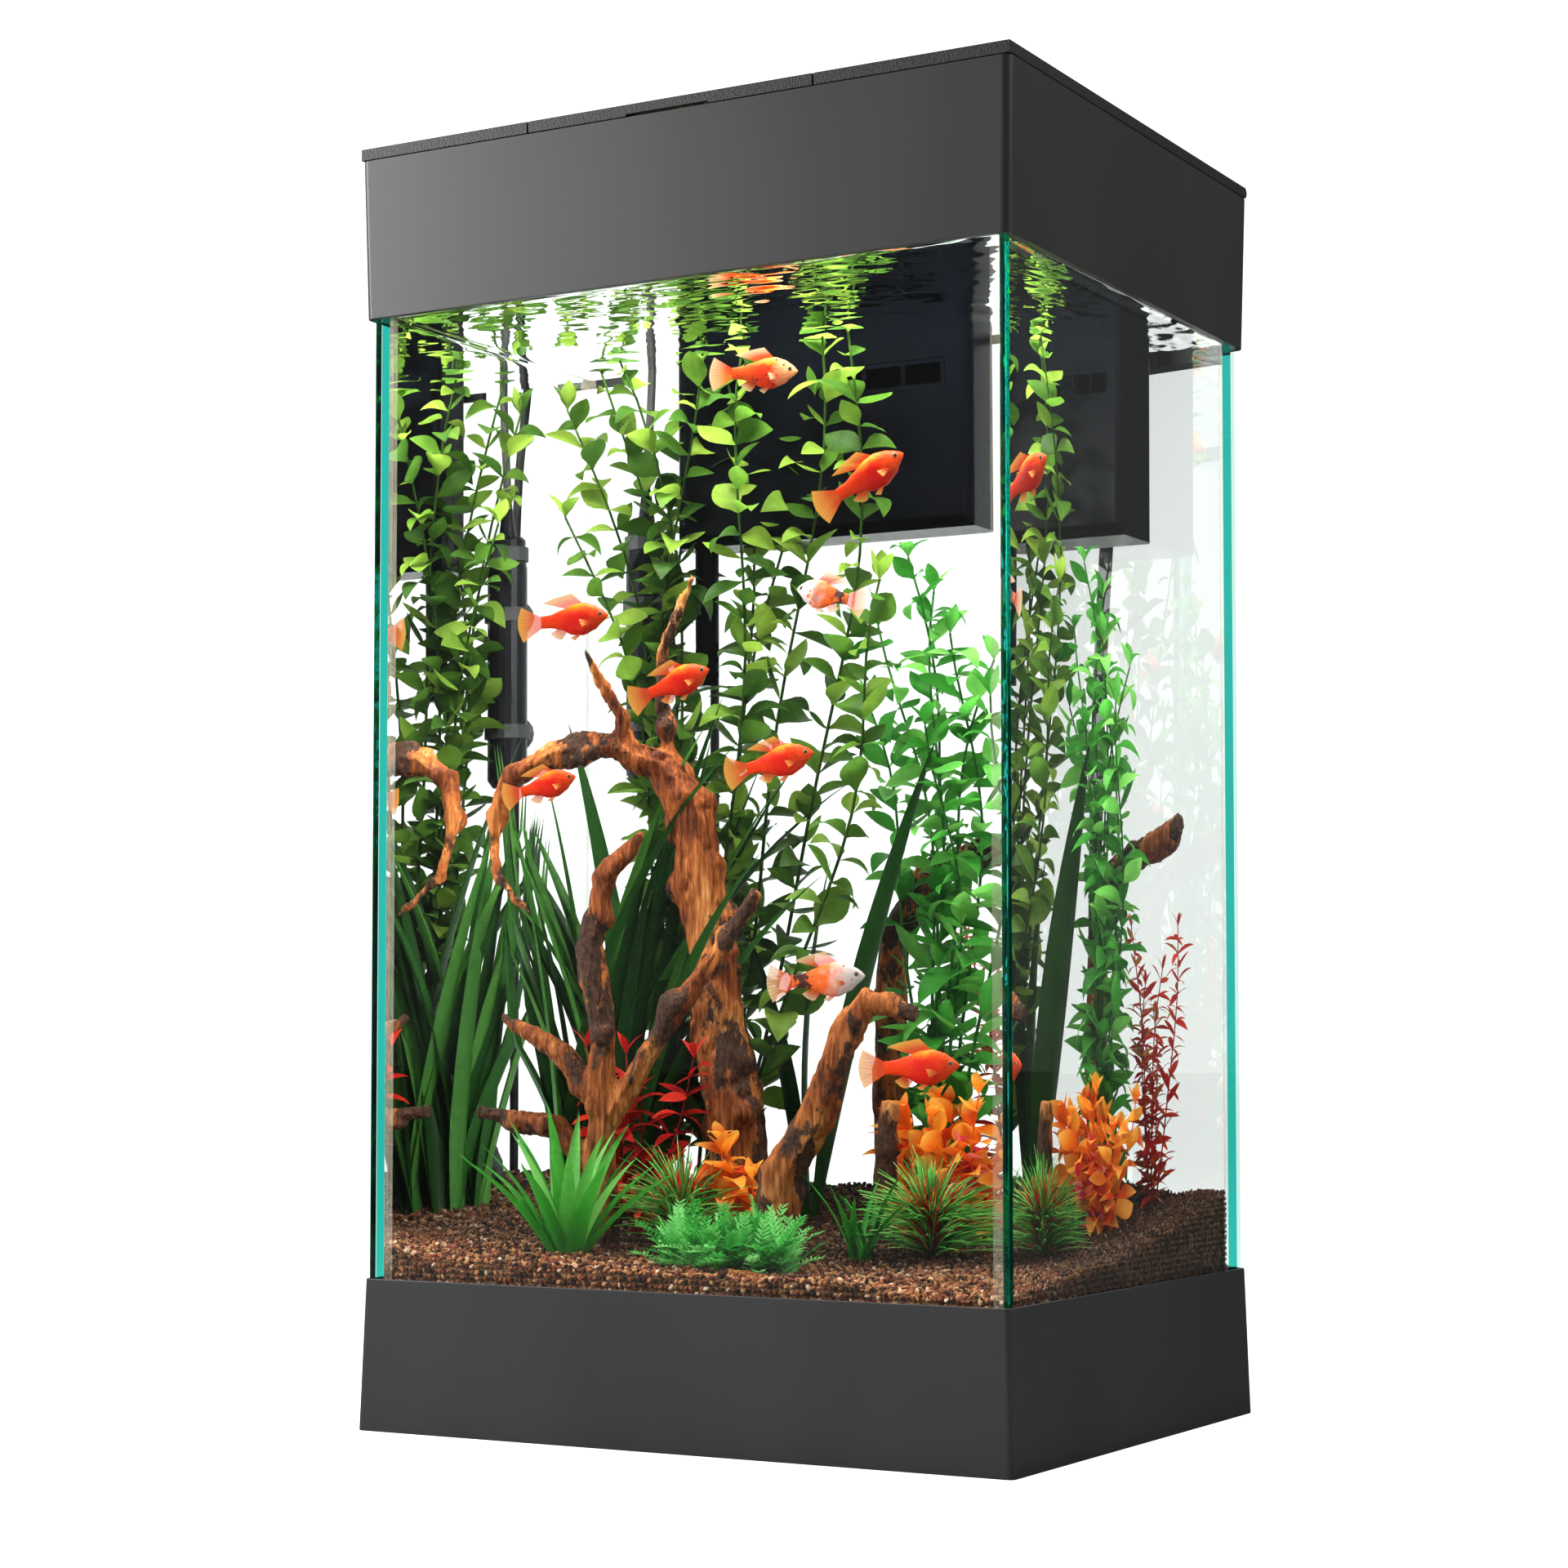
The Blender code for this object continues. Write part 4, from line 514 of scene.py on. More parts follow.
BED_CURVE = 1.6
bed_inset = 0.001
bed_front_left = cad_bed(bed_low.x + bed_inset, bed_low.y + bed_inset)
bed_front_right = cad_bed(bed_high.x - bed_inset, bed_low.y + bed_inset)
bed_climb = cad_bed(bed_low.x + bed_inset, bed_high.y - bed_inset) - bed_front_left
bed_fall = (bed_front_right - bed_front_left) / (bed_high.x - bed_low.x - 2 * bed_inset)


def bed_height(x, y):
    """The gravel's surface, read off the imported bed's corners, with low mounds."""
    share = min(max((y - INSIDE_LOW.y) / (INSIDE_HIGH.y - INSIDE_LOW.y), 0), 1)
    mound = 0.0035 * noise.noise(Vector((x * 16, y * 18, 5.1))) + 0.0012 * noise.noise(Vector((x * 60, y * 60, 1)))
    return bed_front_left + (x - bed_low.x) * bed_fall + bed_climb * share**BED_CURVE + mound


def stone_shapes(count):
    """A few crumbs: icospheres pushed about."""
    shapes = []
    for number in range(count):
        shape = bmesh.new()
        bmesh.ops.create_icosphere(shape, subdivisions=1, radius=1)
        stretch = Vector((1, random.uniform(0.6, 1), random.uniform(0.5, 0.85)))
        for vert in shape.verts:
            push = 1 + 0.28 * noise.noise(vert.co * 1.7 + Vector((number * 9.1, 0, 0)))
            vert.co = vert.co * stretch * push
        shape.verts.index_update()
        points = np.array([v.co for v in shape.verts])
        faces = np.array([[v.index for v in f.verts] for f in shape.faces])
        shapes.append((points, faces))
        shape.free()
    return shapes


def turn_matrix():
    return np.array(Matrix.Rotation(random.uniform(0, 6.28), 3, Vector((random.gauss(0, 1), random.gauss(0, 1), random.gauss(0, 1.01)))))


def scatter_stones():
    shapes = stone_shapes(6)
    rotations = [turn_matrix() for _ in range(40)]
    places = []
    step = GRAIN * 1.75
    half_x, half_y = INSIDE_HIGH.x - GRAIN, INSIDE_HIGH.y - GRAIN
    y = -half_y
    while y < half_y:
        x = -half_x
        while x < half_x:
            px, py = x + random.gauss(0, 0.0004), y + random.gauss(0, 0.0004)
            px, py = min(max(px, -half_x), half_x), min(max(py, -half_y), half_y)
            places.append((px, py, bed_height(px, py) + random.uniform(-0.4, 0.6) * GRAIN))
            x += step
        y += step
    wall_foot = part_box("stand_skirt")[1].z - 0.004
    for along, across in ((half_x, half_y), (half_y, half_x)):
        for side in (-across, across):
            at = -along
            while at < along:
                x, y = (at, side) if along == half_x else (side, at)
                z = wall_foot
                while z < bed_height(x, y):
                    slip = random.gauss(0, 0.0003)
                    places.append((x + slip, y, z) if along == half_x else (x, y + slip, z))
                    z += step
                at += step
    all_points, all_faces, offset = [], [], 0
    for place in places:
        points, faces = random.choice(shapes)
        size = GRAIN * random.uniform(0.75, 1.25)
        all_points.append(points @ random.choice(rotations) * size + np.array(place))
        all_faces.append(faces + offset)
        offset += len(points)
    limit = np.array([INSIDE_HIGH.x, INSIDE_HIGH.y]) - 0.0004
    points = np.concatenate(all_points)
    points[:, :2] = np.clip(points[:, :2], -limit, limit)
    return points, np.concatenate(all_faces), len(places)


def mesh_from(name, points, faces, smooth=False):
    mesh = bpy.data.meshes.new(name)
    mesh.from_pydata([tuple(p) for p in points], [], [tuple(f) for f in faces])
    if smooth:
        mesh.shade_smooth()
    mesh.update()
    return mesh


GRIT, tree, shader = wet_finish("grit", 0.6)
island = node(tree, "NewGeometry").outputs["Random Per Island"]
grit_colours = ramp(
    tree,
    island,
    (0.0, (0.010, 0.006, 0.004)),
    (0.20, (0.06, 0.020, 0.010)),
    (0.36, (0.22, 0.050, 0.020)),
    (0.52, (0.34, 0.13, 0.045)),
    (0.68, (0.50, 0.26, 0.11)),
    (0.76, (0.03, 0.012, 0.008)),
    (0.90, (0.44, 0.15, 0.06)),
    (1.0, (0.85, 0.66, 0.46)),
)
speck = between(tree, grain(tree, 1500, 2), 0.55, 1.25)
# Painted shade: the grit's colour is multiplied darker from the front towards the back of the tank, standing in for the
# shade there, and the specks ride on top.
depth = node(tree, "SeparateXYZ", {"Vector": place_in(tree)}).outputs["Y"]
shade = node(tree, "MapRange", {"Value": depth, "From Min": -0.135, "From Max": -0.04, "To Min": 1.0, "To Max": 0.22})
specks_and_painted_shade = node(tree, "Math", {0: speck, 1: shade.outputs[0]}, operation="MULTIPLY").outputs[0]
grit_with_painted_shade = node(tree, "Mix", {0: 1.0, 6: grit_colours, 7: specks_and_painted_shade}, data_type="RGBA", blend_type="MULTIPLY")
tree.links.new(grit_with_painted_shade.outputs[2], shader.inputs["Base Color"])
bump(tree, shader, grain(tree, 1800, 3), 0.0002)

points, faces, stones = scatter_stones()
add_piece("gravel_stones", mesh_from("gravel_stones", points, faces), GRIT)
print("gravel stones", stones)

CORE, tree, shader = wet_finish("grit_core", 0.8)
specks = cells(tree, 480, output="Color")
split = node(tree, "SeparateColor", {"Color": specks}).outputs[0]
core_colour = ramp(tree, split, (0.0, (0.03, 0.015, 0.01)), (0.4, (0.16, 0.07, 0.03)), (0.8, (0.28, 0.16, 0.08)))
tree.links.new(core_colour, shader.inputs["Base Color"])
bump(tree, shader, cells(tree, 480), 0.0006)


def bed_core():
    shape = bmesh.new()
    bmesh.ops.create_grid(shape, x_segments=70, y_segments=56, size=1)
    for vert in shape.verts:
        vert.co.x *= INSIDE_HIGH.x - 0.0026
        vert.co.y *= INSIDE_HIGH.y - 0.0026
        vert.co.z = bed_height(vert.co.x, vert.co.y) - GRAIN * 0.5
    down = bmesh.ops.extrude_face_region(shape, geom=shape.faces[:])
    for vert in (item for item in down["geom"] if isinstance(item, bmesh.types.BMVert)):
        vert.co.z = bed_low.z + 0.0005
    bmesh.ops.recalc_face_normals(shape, faces=shape.faces[:])
    mesh = bpy.data.meshes.new("gravel_core")
    shape.to_mesh(mesh)
    shape.free()
    return mesh


add_piece("gravel_core", bed_core(), CORE, ("gravel_bed",))

# %% [markdown]
# ## Driftwood and rock
# Driftwood is a root worn by water: it twists, has knots and long grooves, and its skin is part bare orange
# wood and part dark bark. A tube with a bark picture looks like a pipe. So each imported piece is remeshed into
# a fine skin, and layers of noise push that skin in and out, wide ones for the twist and fine ones for grooves.

# %% Driftwood
def fine_skin(node_name, voxel):
    """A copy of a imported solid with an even, fine mesh."""
    source = bpy.data.objects.new("source", NODES[node_name].data.copy())
    scene.collection.objects.link(source)
    remesh = source.modifiers.new("remesh", "REMESH")
    remesh.mode = "VOXEL"
    remesh.voxel_size = voxel
    soft = source.modifiers.new("smooth", "SMOOTH")
    soft.factor = 0.5
    soft.iterations = 4
    graph = bpy.context.evaluated_depsgraph_get()
    mesh = bpy.data.meshes.new_from_object(source.evaluated_get(graph))
    bpy.data.objects.remove(source)
    mesh.materials.clear()
    return mesh


def carve(mesh, seed, wide, knots, grooves):
    """Pushes each point along its normal: wide and knots in metres, grooves in metres."""
    offset = Vector((seed * 3.7, seed * 1.3, seed * 7.1))
    normals = [v.normal.copy() for v in mesh.vertices]
    for vert, normal in zip(mesh.vertices, normals):
        p = vert.co
        swell = noise.noise(p * 26 + offset)
        knot = max(0.0, noise.noise(p * 55 + offset * 2) - 0.18)
        along = Vector((p.x * 260, p.y * 260, p.z * 60)) + offset
        groove = abs(noise.noise(along + 0.8 * noise.noise_vector(p * 45)))
        pit = max(0.0, noise.noise(p * 120 + offset) - 0.30)
        vert.co = p + normal * (wide * swell + knots * knot - grooves * (0.5 - groove) - grooves * 2.2 * pit)
    mesh.shade_smooth()
    return mesh


def wood_finish():
    made, tree, shader = wet_finish("driftwood", 0.55)
    patches = grain(tree, 30, 7, (1, 1, 0.55), 0.68)
    fibres = grain(tree, 420, 4, (1, 1, 0.14), 0.6)
    broad_tone = grain(tree, 26, 4, (1, 1, 0.6), 0.6)
    streaks = node(tree, "Mix", {0: 0.42, 2: broad_tone, 3: fibres}, data_type="FLOAT").outputs[0]
    bare = ramp(
        tree,
        streaks,
        (0.38, (0.09, 0.018, 0.004)),
        (0.46, (0.27, 0.065, 0.013)),
        (0.54, (0.50, 0.16, 0.035)),
        (0.64, (0.78, 0.42, 0.15)),
    )
    bark = ramp(tree, grain(tree, 420, 4), (0.35, (0.012, 0.007, 0.005)), (0.7, (0.09, 0.035, 0.018)))
    edge = ramp(tree, patches, (0.485, (0, 0, 0)), (0.515, (1, 1, 1)))
    # Painted shade: the bare wood is multiplied darker towards the bottom of the tank and is fully bright higher up, as
    # the lamp above would light it. The bark keeps its colours.
    height = node(tree, "SeparateXYZ", {"Vector": place_in(tree)}).outputs["Z"]
    painted_low_shade = node(tree, "MapRange", {"Value": height, "From Min": 0.10, "From Max": 0.30, "To Min": 0.45, "To Max": 1.0})
    bare = node(tree, "Mix", {0: 1.0, 6: bare, 7: painted_low_shade.outputs[0]}, data_type="RGBA", blend_type="MULTIPLY").outputs[2]
    mixed = node(tree, "Mix", {0: edge, 6: bare, 7: bark}, data_type="RGBA")
    tree.links.new(mixed.outputs[2], shader.inputs["Base Color"])
    rough = between(tree, patches, 0.42, 0.75)
    tree.links.new(rough, shader.inputs["Roughness"])
    height = node(tree, "Math", {0: fibres, 1: grain(tree, 110, 6, (1, 1, 0.4))}, operation="ADD").outputs[0]
    bump(tree, shader, height, 0.0024, 0.9)
    return made


noise.seed_set(11)
WOOD = wood_finish()
for number, (name, voxel, wide, knots, grooves) in enumerate(
    [
        ("driftwood_trunk", 0.0016, 0.0034, 0.011, 0.0022),
        ("driftwood_forked", 0.0013, 0.0022, 0.009, 0.0014),
        ("driftwood_hook", 0.0013, 0.0024, 0.008, 0.0014),
        ("driftwood_arch", 0.0015, 0.0022, 0.007, 0.0013),
        ("driftwood_stub", 0.0012, 0.0008, 0.003, 0.0008),
    ]
):
    skin = carve(fine_skin(name, voxel), number + 1, wide, knots, grooves)
    add_piece(name + "_wood", skin, WOOD, (name,))
    print(name, len(skin.vertices), "points")

twig_from = Vector(((bed_low.x + bed_high.x) / 2 + 0.020, INSIDE_LOW.y + 0.014, 0))
twig_shape = bmesh.new()
bmesh.ops.create_cone(twig_shape, cap_ends=True, segments=14, radius1=0.0022, radius2=0.0011, depth=1)
bmesh.ops.bisect_plane(twig_shape, geom=twig_shape.faces[:] + twig_shape.edges[:], plane_co=(0, 0, 0), plane_no=(0, 0, 1))
TWIG_LENGTH = 0.056
TWIG_CUTS = 40
for cut in range(1, TWIG_CUTS):
    everything = twig_shape.verts[:] + twig_shape.edges[:] + twig_shape.faces[:]
    bmesh.ops.bisect_plane(twig_shape, geom=everything, plane_co=(0, 0, cut / TWIG_CUTS - 0.5), plane_no=(0, 0, 1))
for vert in twig_shape.verts:
    along_twig = vert.co.z + 0.5
    x = twig_from.x + along_twig * TWIG_LENGTH
    y = twig_from.y + vert.co.x + 0.0022 * math.sin(along_twig * 7)
    lump = 1 + 0.45 * noise.noise(Vector((along_twig * 9, 3, 1)))
    vert.co = Vector((x, y, bed_height(x, y) + 0.0012 + vert.co.y * lump))
twig_mesh = bpy.data.meshes.new("driftwood_twig")
bmesh.ops.recalc_face_normals(twig_shape, faces=twig_shape.faces[:])
twig_shape.to_mesh(twig_mesh)
twig_shape.free()
add_piece("driftwood_twig", carve(twig_mesh, 6, 0.0004, 0.001, 0.0003), WOOD)

ROCK, tree, shader = wet_finish("dark_rock", 0.7)
rock_shade = ramp(tree, grain(tree, 130, 5), (0.35, (0.010, 0.013, 0.012)), (0.6, (0.05, 0.06, 0.05)), (0.8, (0.14, 0.15, 0.11)))
tree.links.new(rock_shade, shader.inputs["Base Color"])
bump(tree, shader, grain(tree, 260, 6), 0.0016)
add_piece("dark_rock_stone", carve(fine_skin("dark_rock", 0.0014), 9, 0.003, 0.004, 0.002), ROCK, ("dark_rock",))

# %% [markdown]
# ## Plants
# Aquarium plants of this kind are moulded leaf by leaf. A card with a cut-out picture of a leaf is the quick
# way, but it has no thickness from the side. Here one function bends and cups a small sheet into a leaf, and
# one collects leaves and stems into a mesh and keeps two numbers on each point: a tone for the leaf, and how
# far along it the point is. The finishes read those two, so that no two leaves have the same green.

# %% Leaves and stems
class Growth:
    """Collects the leaves and stems of one plant."""

    def __init__(self):
        self.points, self.faces, self.tones, self.along = [], [], [], []
        self.count = 0

    def add(self, points, faces, tone, along):
        self.points.append(points)
        self.faces.extend([tuple(i + self.count for i in face) for face in faces])
        self.tones.append(np.full(len(points), tone))
        self.along.append(along)
        self.count += len(points)

    def leaf(self, sheet, place, forward, up, tone, size=1.0):
        points, faces, along = sheet
        forward = Vector(forward).normalized()
        side = Vector(up).cross(forward)
        if side.length < 1e-4:
            side = Vector((1, 0, 0)).cross(forward)
        side.normalize()
        over = forward.cross(side)
        frame_of = np.array([forward, side, over])
        self.add(points * size @ frame_of + np.array(place), faces, tone, along)

    def stem(self, route, radii, tone=0.3, sides=6):
        rings = []
        for i, place in enumerate(route):
            ahead = (route[min(i + 1, len(route) - 1)] - route[max(i - 1, 0)]).normalized()
            across = ahead.orthogonal().normalized()
            if rings:
                across = (last_across - ahead * last_across.dot(ahead)).normalized()
            last_across = across
            other = ahead.cross(across)
            radius = radii[0] + (radii[1] - radii[0]) * i / max(len(route) - 1, 1)
            for k in range(sides):
                angle = 2 * math.pi * k / sides
                rings.append(place + (across * math.cos(angle) + other * math.sin(angle)) * radius)
        faces = [tuple(range(sides))[::-1], tuple(range(len(rings) - sides, len(rings)))]
        for i in range(len(route) - 1):
            for k in range(sides):
                a, b = i * sides + k, i * sides + (k + 1) % sides
                faces.append((a, b, b + sides, a + sides))
        self.add(np.array(rings), faces, tone, np.full(len(rings), 0.1))

    def piece(self, name, finish, slot_name, stands_for=()):
        mesh = bpy.data.meshes.new(name)
        points = np.concatenate(self.points)
        points[:, 2] = np.minimum(points[:, 2], WATER_TOP - 0.0025)
        limit = np.array([INSIDE_HIGH.x, INSIDE_HIGH.y]) - 0.0012
        points[:, :2] = np.clip(points[:, :2], -limit, limit)
        mesh.from_pydata([tuple(p) for p in points], [], self.faces)
        mesh.shade_smooth()
        for label, values in (("tone", self.tones), ("along", self.along)):
            layer = mesh.attributes.new(label, "FLOAT", "POINT")
            layer.data.foreach_set("value", np.concatenate(values).astype(np.float32))
        print(name, len(points), "points")
        return add_piece(name, mesh, finish, stands_for)


def oval(t):
    """A stalk, then a leaf that is widest before its middle and comes to a point."""
    open_part = np.clip((t - 0.10) / 0.90, 0, 1)
    return np.maximum(0.07 * (t < 0.98), np.sin(np.pi * open_part**0.78) ** 0.85)


def strap(t):
    return np.clip(0.55 + 2.2 * t, 0, 1) * (1 - np.clip(t, 0, 1) ** 2.6) + 0.01


def lance(t):
    return np.sin(np.pi * np.clip(t * 0.93 + 0.06, 0, 1) ** 0.9) ** 0.9 + 0.02


def leaf_sheet(length, width, outline, droop=0.6, cup=0.25, rows=7, columns=4, wave=0.0):
    """A leaf along +X, its upper side +Z: droop is the turn from base to tip, in radians."""
    t = np.linspace(0, 1, rows + 1)
    s = np.linspace(-1, 1, columns + 1)
    angle = droop * t**1.3
    x = np.concatenate([[0], np.cumsum(np.cos(angle[:-1]))]) / rows * length
    z = -np.concatenate([[0], np.cumsum(np.sin(angle[:-1]))]) / rows * length
    half = outline(t) * width / 2
    points = np.zeros((rows + 1, columns + 1, 3))
    points[..., 0] = x[:, None]
    points[..., 1] = half[:, None] * s[None, :]
    lift = cup * half[:, None] * (np.abs(s[None, :]) ** 1.5)
    points[..., 2] = z[:, None] + lift + wave * half[:, None] * np.sin(t[:, None] * 14) * s[None, :]
    faces = []
    for i in range(rows):
        for j in range(columns):
            a = i * (columns + 1) + j
            faces.append((a, a + 1, a + columns + 2, a + columns + 1))
    return points.reshape(-1, 3), faces, np.repeat(t, columns + 1)


def leaf_finish(name, dark, middle, light, tip=None, glow=0.35, roughness=0.38):
    """Green by tone, its own colour towards the tip where one is given, and light that comes through the blade."""
    made, tree, shader = wet_finish(name, roughness)
    tone = node(tree, "Attribute", attribute_name="tone").outputs["Fac"]
    along = node(tree, "Attribute", attribute_name="along").outputs["Fac"]
    mottled = node(tree, "Math", {0: tone, 1: between(tree, grain(tree, 260, 3), -0.16, 0.16)}, operation="ADD").outputs[0]
    colour = ramp(tree, mottled, (0.05, dark), (0.5, middle), (0.95, light))
    if tip:
        share = ramp(tree, along, (0.45, (0, 0, 0)), (0.95, (1, 1, 1)))
        colour = node(tree, "Mix", {0: share, 6: colour, 7: (*tip, 1)}, data_type="RGBA").outputs[2]
    tree.links.new(colour, shader.inputs["Base Color"])
    bump(tree, shader, grain(tree, 620, 3), 0.0003)
    translucent = node(tree, "BsdfTranslucent", {"Color": colour})
    mixed = node(tree, "MixShader", {0: glow, 1: shader.outputs[0], 2: translucent.outputs[0]})
    tree.links.new(mixed.outputs[0], tree.nodes["Material Output"].inputs["Surface"])
    return made


def in_box(node_name, x, y, z):
    """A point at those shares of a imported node's box."""
    low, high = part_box(node_name)
    return Vector((low.x + (high.x - low.x) * x, low.y + (high.y - low.y) * y, low.z + (high.z - low.z) * z))


def swaying(foot, tip, sway, points=16):
    """A route from foot to tip that leans and wavers."""
    route = []
    phase = random.uniform(0, 6.28)
    for i in range(points + 1):
        t = i / points
        base = foot.lerp(tip, t)
        bow = math.sin(math.pi * t)
        base.x += sway * (bow * math.sin(phase) + 0.35 * math.sin(phase + 9 * t) * t)
        base.y += sway * (bow * math.cos(phase) + 0.35 * math.cos(phase + 8 * t) * t)
        route.append(base)
    return route


def leafy_stem(growth, route, sheets, spacing, size, rise, stem_radius, start=0.06, tones=(0.1, 0.95), per_node=2):
    """A stem with leaves in pairs, each pair turned from the last."""
    growth.stem(route, (stem_radius, stem_radius * 0.55), tone=random.uniform(0.1, 0.35))
    even = smooth_route(route, spacing)
    turn = random.uniform(0, 6.28)
    for i, place in enumerate(even[:-1]):
        share = i / len(even)
        if share < start:
            continue
        ahead = (even[i + 1] - place).normalized()
        for k in range(per_node):
            angle = turn + 2 * math.pi * k / per_node + random.uniform(-0.6, 0.6)
            outward = Vector((math.cos(angle), math.sin(angle), 0))
            lift = rise + random.uniform(-0.65, 0.55)
            forward = outward * math.cos(lift) + ahead * math.sin(lift)
            scale = size * random.uniform(0.62, 1.2) * (1 - 0.25 * share**3)
            roll = ahead + outward.cross(ahead) * random.uniform(-0.7, 0.7)
            tone = random.uniform(*tones) * (0.72 + 0.38 * share)
            growth.leaf(random.choice(sheets), place, forward, roll, min(tone, 1), scale)
        turn += 1.57 + random.uniform(-0.7, 0.7)
    tip = even[-1]
    for k in range(3):
        angle = turn + 2.1 * k
        forward = Vector((math.cos(angle) * 0.5, math.sin(angle) * 0.5, 0.85))
        growth.leaf(random.choice(sheets), tip, forward, Vector((0, 0, 1)), random.uniform(*tones), size * 0.6)


# %% [markdown]
# The tall stem plants fill the back of the tank up to the surface, and their leaves come in pairs, each pair
# turned a quarter from the last. The leaves behind on the left are olive and yellow green, and those on the
# right a fresh green. One finish for both would lose that depth.

# %% Stem plants
OLIVE = leaf_finish("olive_leaf", (0.020, 0.060, 0.010), (0.085, 0.20, 0.022), (0.27, 0.42, 0.055), glow=0.5)
FRESH = leaf_finish("fresh_leaf", (0.020, 0.15, 0.015), (0.075, 0.40, 0.05), (0.26, 0.66, 0.14), glow=0.5)
BROAD_BENDS = ((0.5, 0.25), (1.1, 0.4), (1.7, 0.3), (0.1, 0.5), (-0.7, 0.3))
broad_leaves = [leaf_sheet(1, 0.60, oval, droop, cup) for droop, cup in BROAD_BENDS]
SLIM_BENDS = ((0.6, 0.3), (1.2, 0.35), (1.8, 0.3), (0.2, 0.5), (-0.6, 0.3))
slim_leaves = [leaf_sheet(1, 0.46, oval, droop, cup) for droop, cup in SLIM_BENDS]

random.seed(21)
tall = Growth()
for foot_x, foot_y, tip_x, tip_y, tip_z in (
    (0.40, 0.30, 0.02, 0.60, 0.93),
    (0.38, 0.55, 0.14, 0.95, 0.97),
    (0.42, 0.20, 0.26, 0.30, 0.99),
    (0.44, 0.60, 0.38, 1.00, 0.96),
    (0.46, 0.40, 0.50, 0.20, 0.99),
    (0.50, 0.70, 0.62, 0.80, 0.94),
    (0.52, 0.35, 0.76, 0.25, 0.99),
    (0.55, 0.60, 0.90, 0.70, 0.92),
    (0.58, 0.20, 1.02, 0.10, 0.98),
    (0.60, 0.40, 1.20, -0.30, 0.97),
    (0.40, 0.10, 0.06, 0.10, 0.80),
    (0.62, 0.10, 1.32, -0.10, 0.70),
):
    foot = in_box("tall_stem_plant", foot_x, foot_y, 0.02)
    tip = in_box("tall_stem_plant", tip_x, tip_y, tip_z)
    leafy_stem(tall, swaying(foot, tip, 0.022), broad_leaves, 0.0125, 0.029, 0.35, 0.0013)
tall.piece("tall_stem_plant_leaves", OLIVE, "leaf_green", ("tall_stem_plant",))

fresh = Growth()
for foot_x, foot_y, tip_x, tip_y, tip_z in (
    (0.42, 0.5, 0.05, 0.7, 0.92),
    (0.44, 0.2, 0.30, 0.1, 1.02),
    (0.46, 0.6, 0.52, 0.9, 0.97),
    (0.50, 0.4, 0.78, 0.2, 0.90),
    (0.52, 0.6, 1.02, 0.8, 0.86),
    (0.40, 0.8, -0.16, 0.4, 0.80),
    (0.54, 0.1, 1.20, -0.4, 0.80),
    (0.50, 0.3, 0.60, -0.6, 0.76),
):
    foot = in_box("right_stem_plant", foot_x, foot_y, 0.02)
    tip = in_box("right_stem_plant", tip_x, tip_y, tip_z)
    leafy_stem(fresh, swaying(foot, tip, 0.016), slim_leaves, 0.0120, 0.029, 0.35, 0.0012)
fresh.piece("right_stem_plant_leaves", FRESH, "leaf_green", ("right_stem_plant",))

# %% [markdown]
# Grass blades, the broad blade and the rosette are long straps that bow outward. A strap that is bent by one
# even curve looks like sheet metal, so the bend grows towards the tip and each blade has a groove down its middle.

# %% Blades
BLADE = leaf_finish("blade_green", (0.006, 0.026, 0.006), (0.02, 0.085, 0.014), (0.08, 0.24, 0.035), glow=0.3, roughness=0.42)
ROSETTE = leaf_finish("rosette_green", (0.012, 0.11, 0.012), (0.045, 0.29, 0.030), (0.20, 0.52, 0.12), glow=0.35)


def blade(growth, foot, heading, lean, length, width, droop, tone, outline=strap, cup=0.5):
    """One strap from foot: lean is its angle from upright at the foot."""
    outward = Vector((math.cos(heading), math.sin(heading), 0))
    forward = outward * math.sin(lean) + Vector((0, 0, math.cos(lean)))
    up = outward * -math.cos(lean) + Vector((0, 0, math.sin(lean)))
    growth.leaf(leaf_sheet(length, width, outline, droop, cup, rows=16, columns=4), foot, forward, up, tone)


random.seed(5)
grass = Growth()
for number in range(48):
    foot = in_box("grass_clump", random.uniform(0.25, 1.0), random.uniform(-0.6, 1.4), 0.0)
    heading = random.choice((random.uniform(-0.5, 0.5), random.uniform(2.6, 3.7)))
    lean = random.uniform(0.03, 0.30)
    blade(grass, foot, heading, lean, random.uniform(0.17, 0.30), random.uniform(0.013, 0.021), random.uniform(0.1, 0.9), random.uniform(0.1, 0.9))
grass.piece("grass_clump_blades", BLADE, "blade_green", ("grass_clump",))

broad = Growth()
low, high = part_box("broad_blade_plant")
reach = Vector((high.x - low.x, 0, high.z - low.z))
lean = math.atan2(reach.x, reach.z)
foot = in_box("broad_blade_plant", 0.06, 0.5, 0.02)
blade(broad, foot, 0.0, lean - 0.06, reach.length * 0.97, 0.032, 0.12, 0.35, lance, 0.35)
blade(broad, foot + Vector((-0.004, 0.004, 0)), 0.3, lean - 0.35, reach.length * 0.72, 0.016, 0.3, 0.5, lance, 0.35)
blade(broad, foot + Vector((-0.006, -0.002, 0)), 2.8, 0.15, reach.length * 0.6, 0.014, 0.3, 0.2, lance, 0.35)
broad.piece("broad_blade_plant_blades", BLADE, "blade_green", ("broad_blade_plant",))

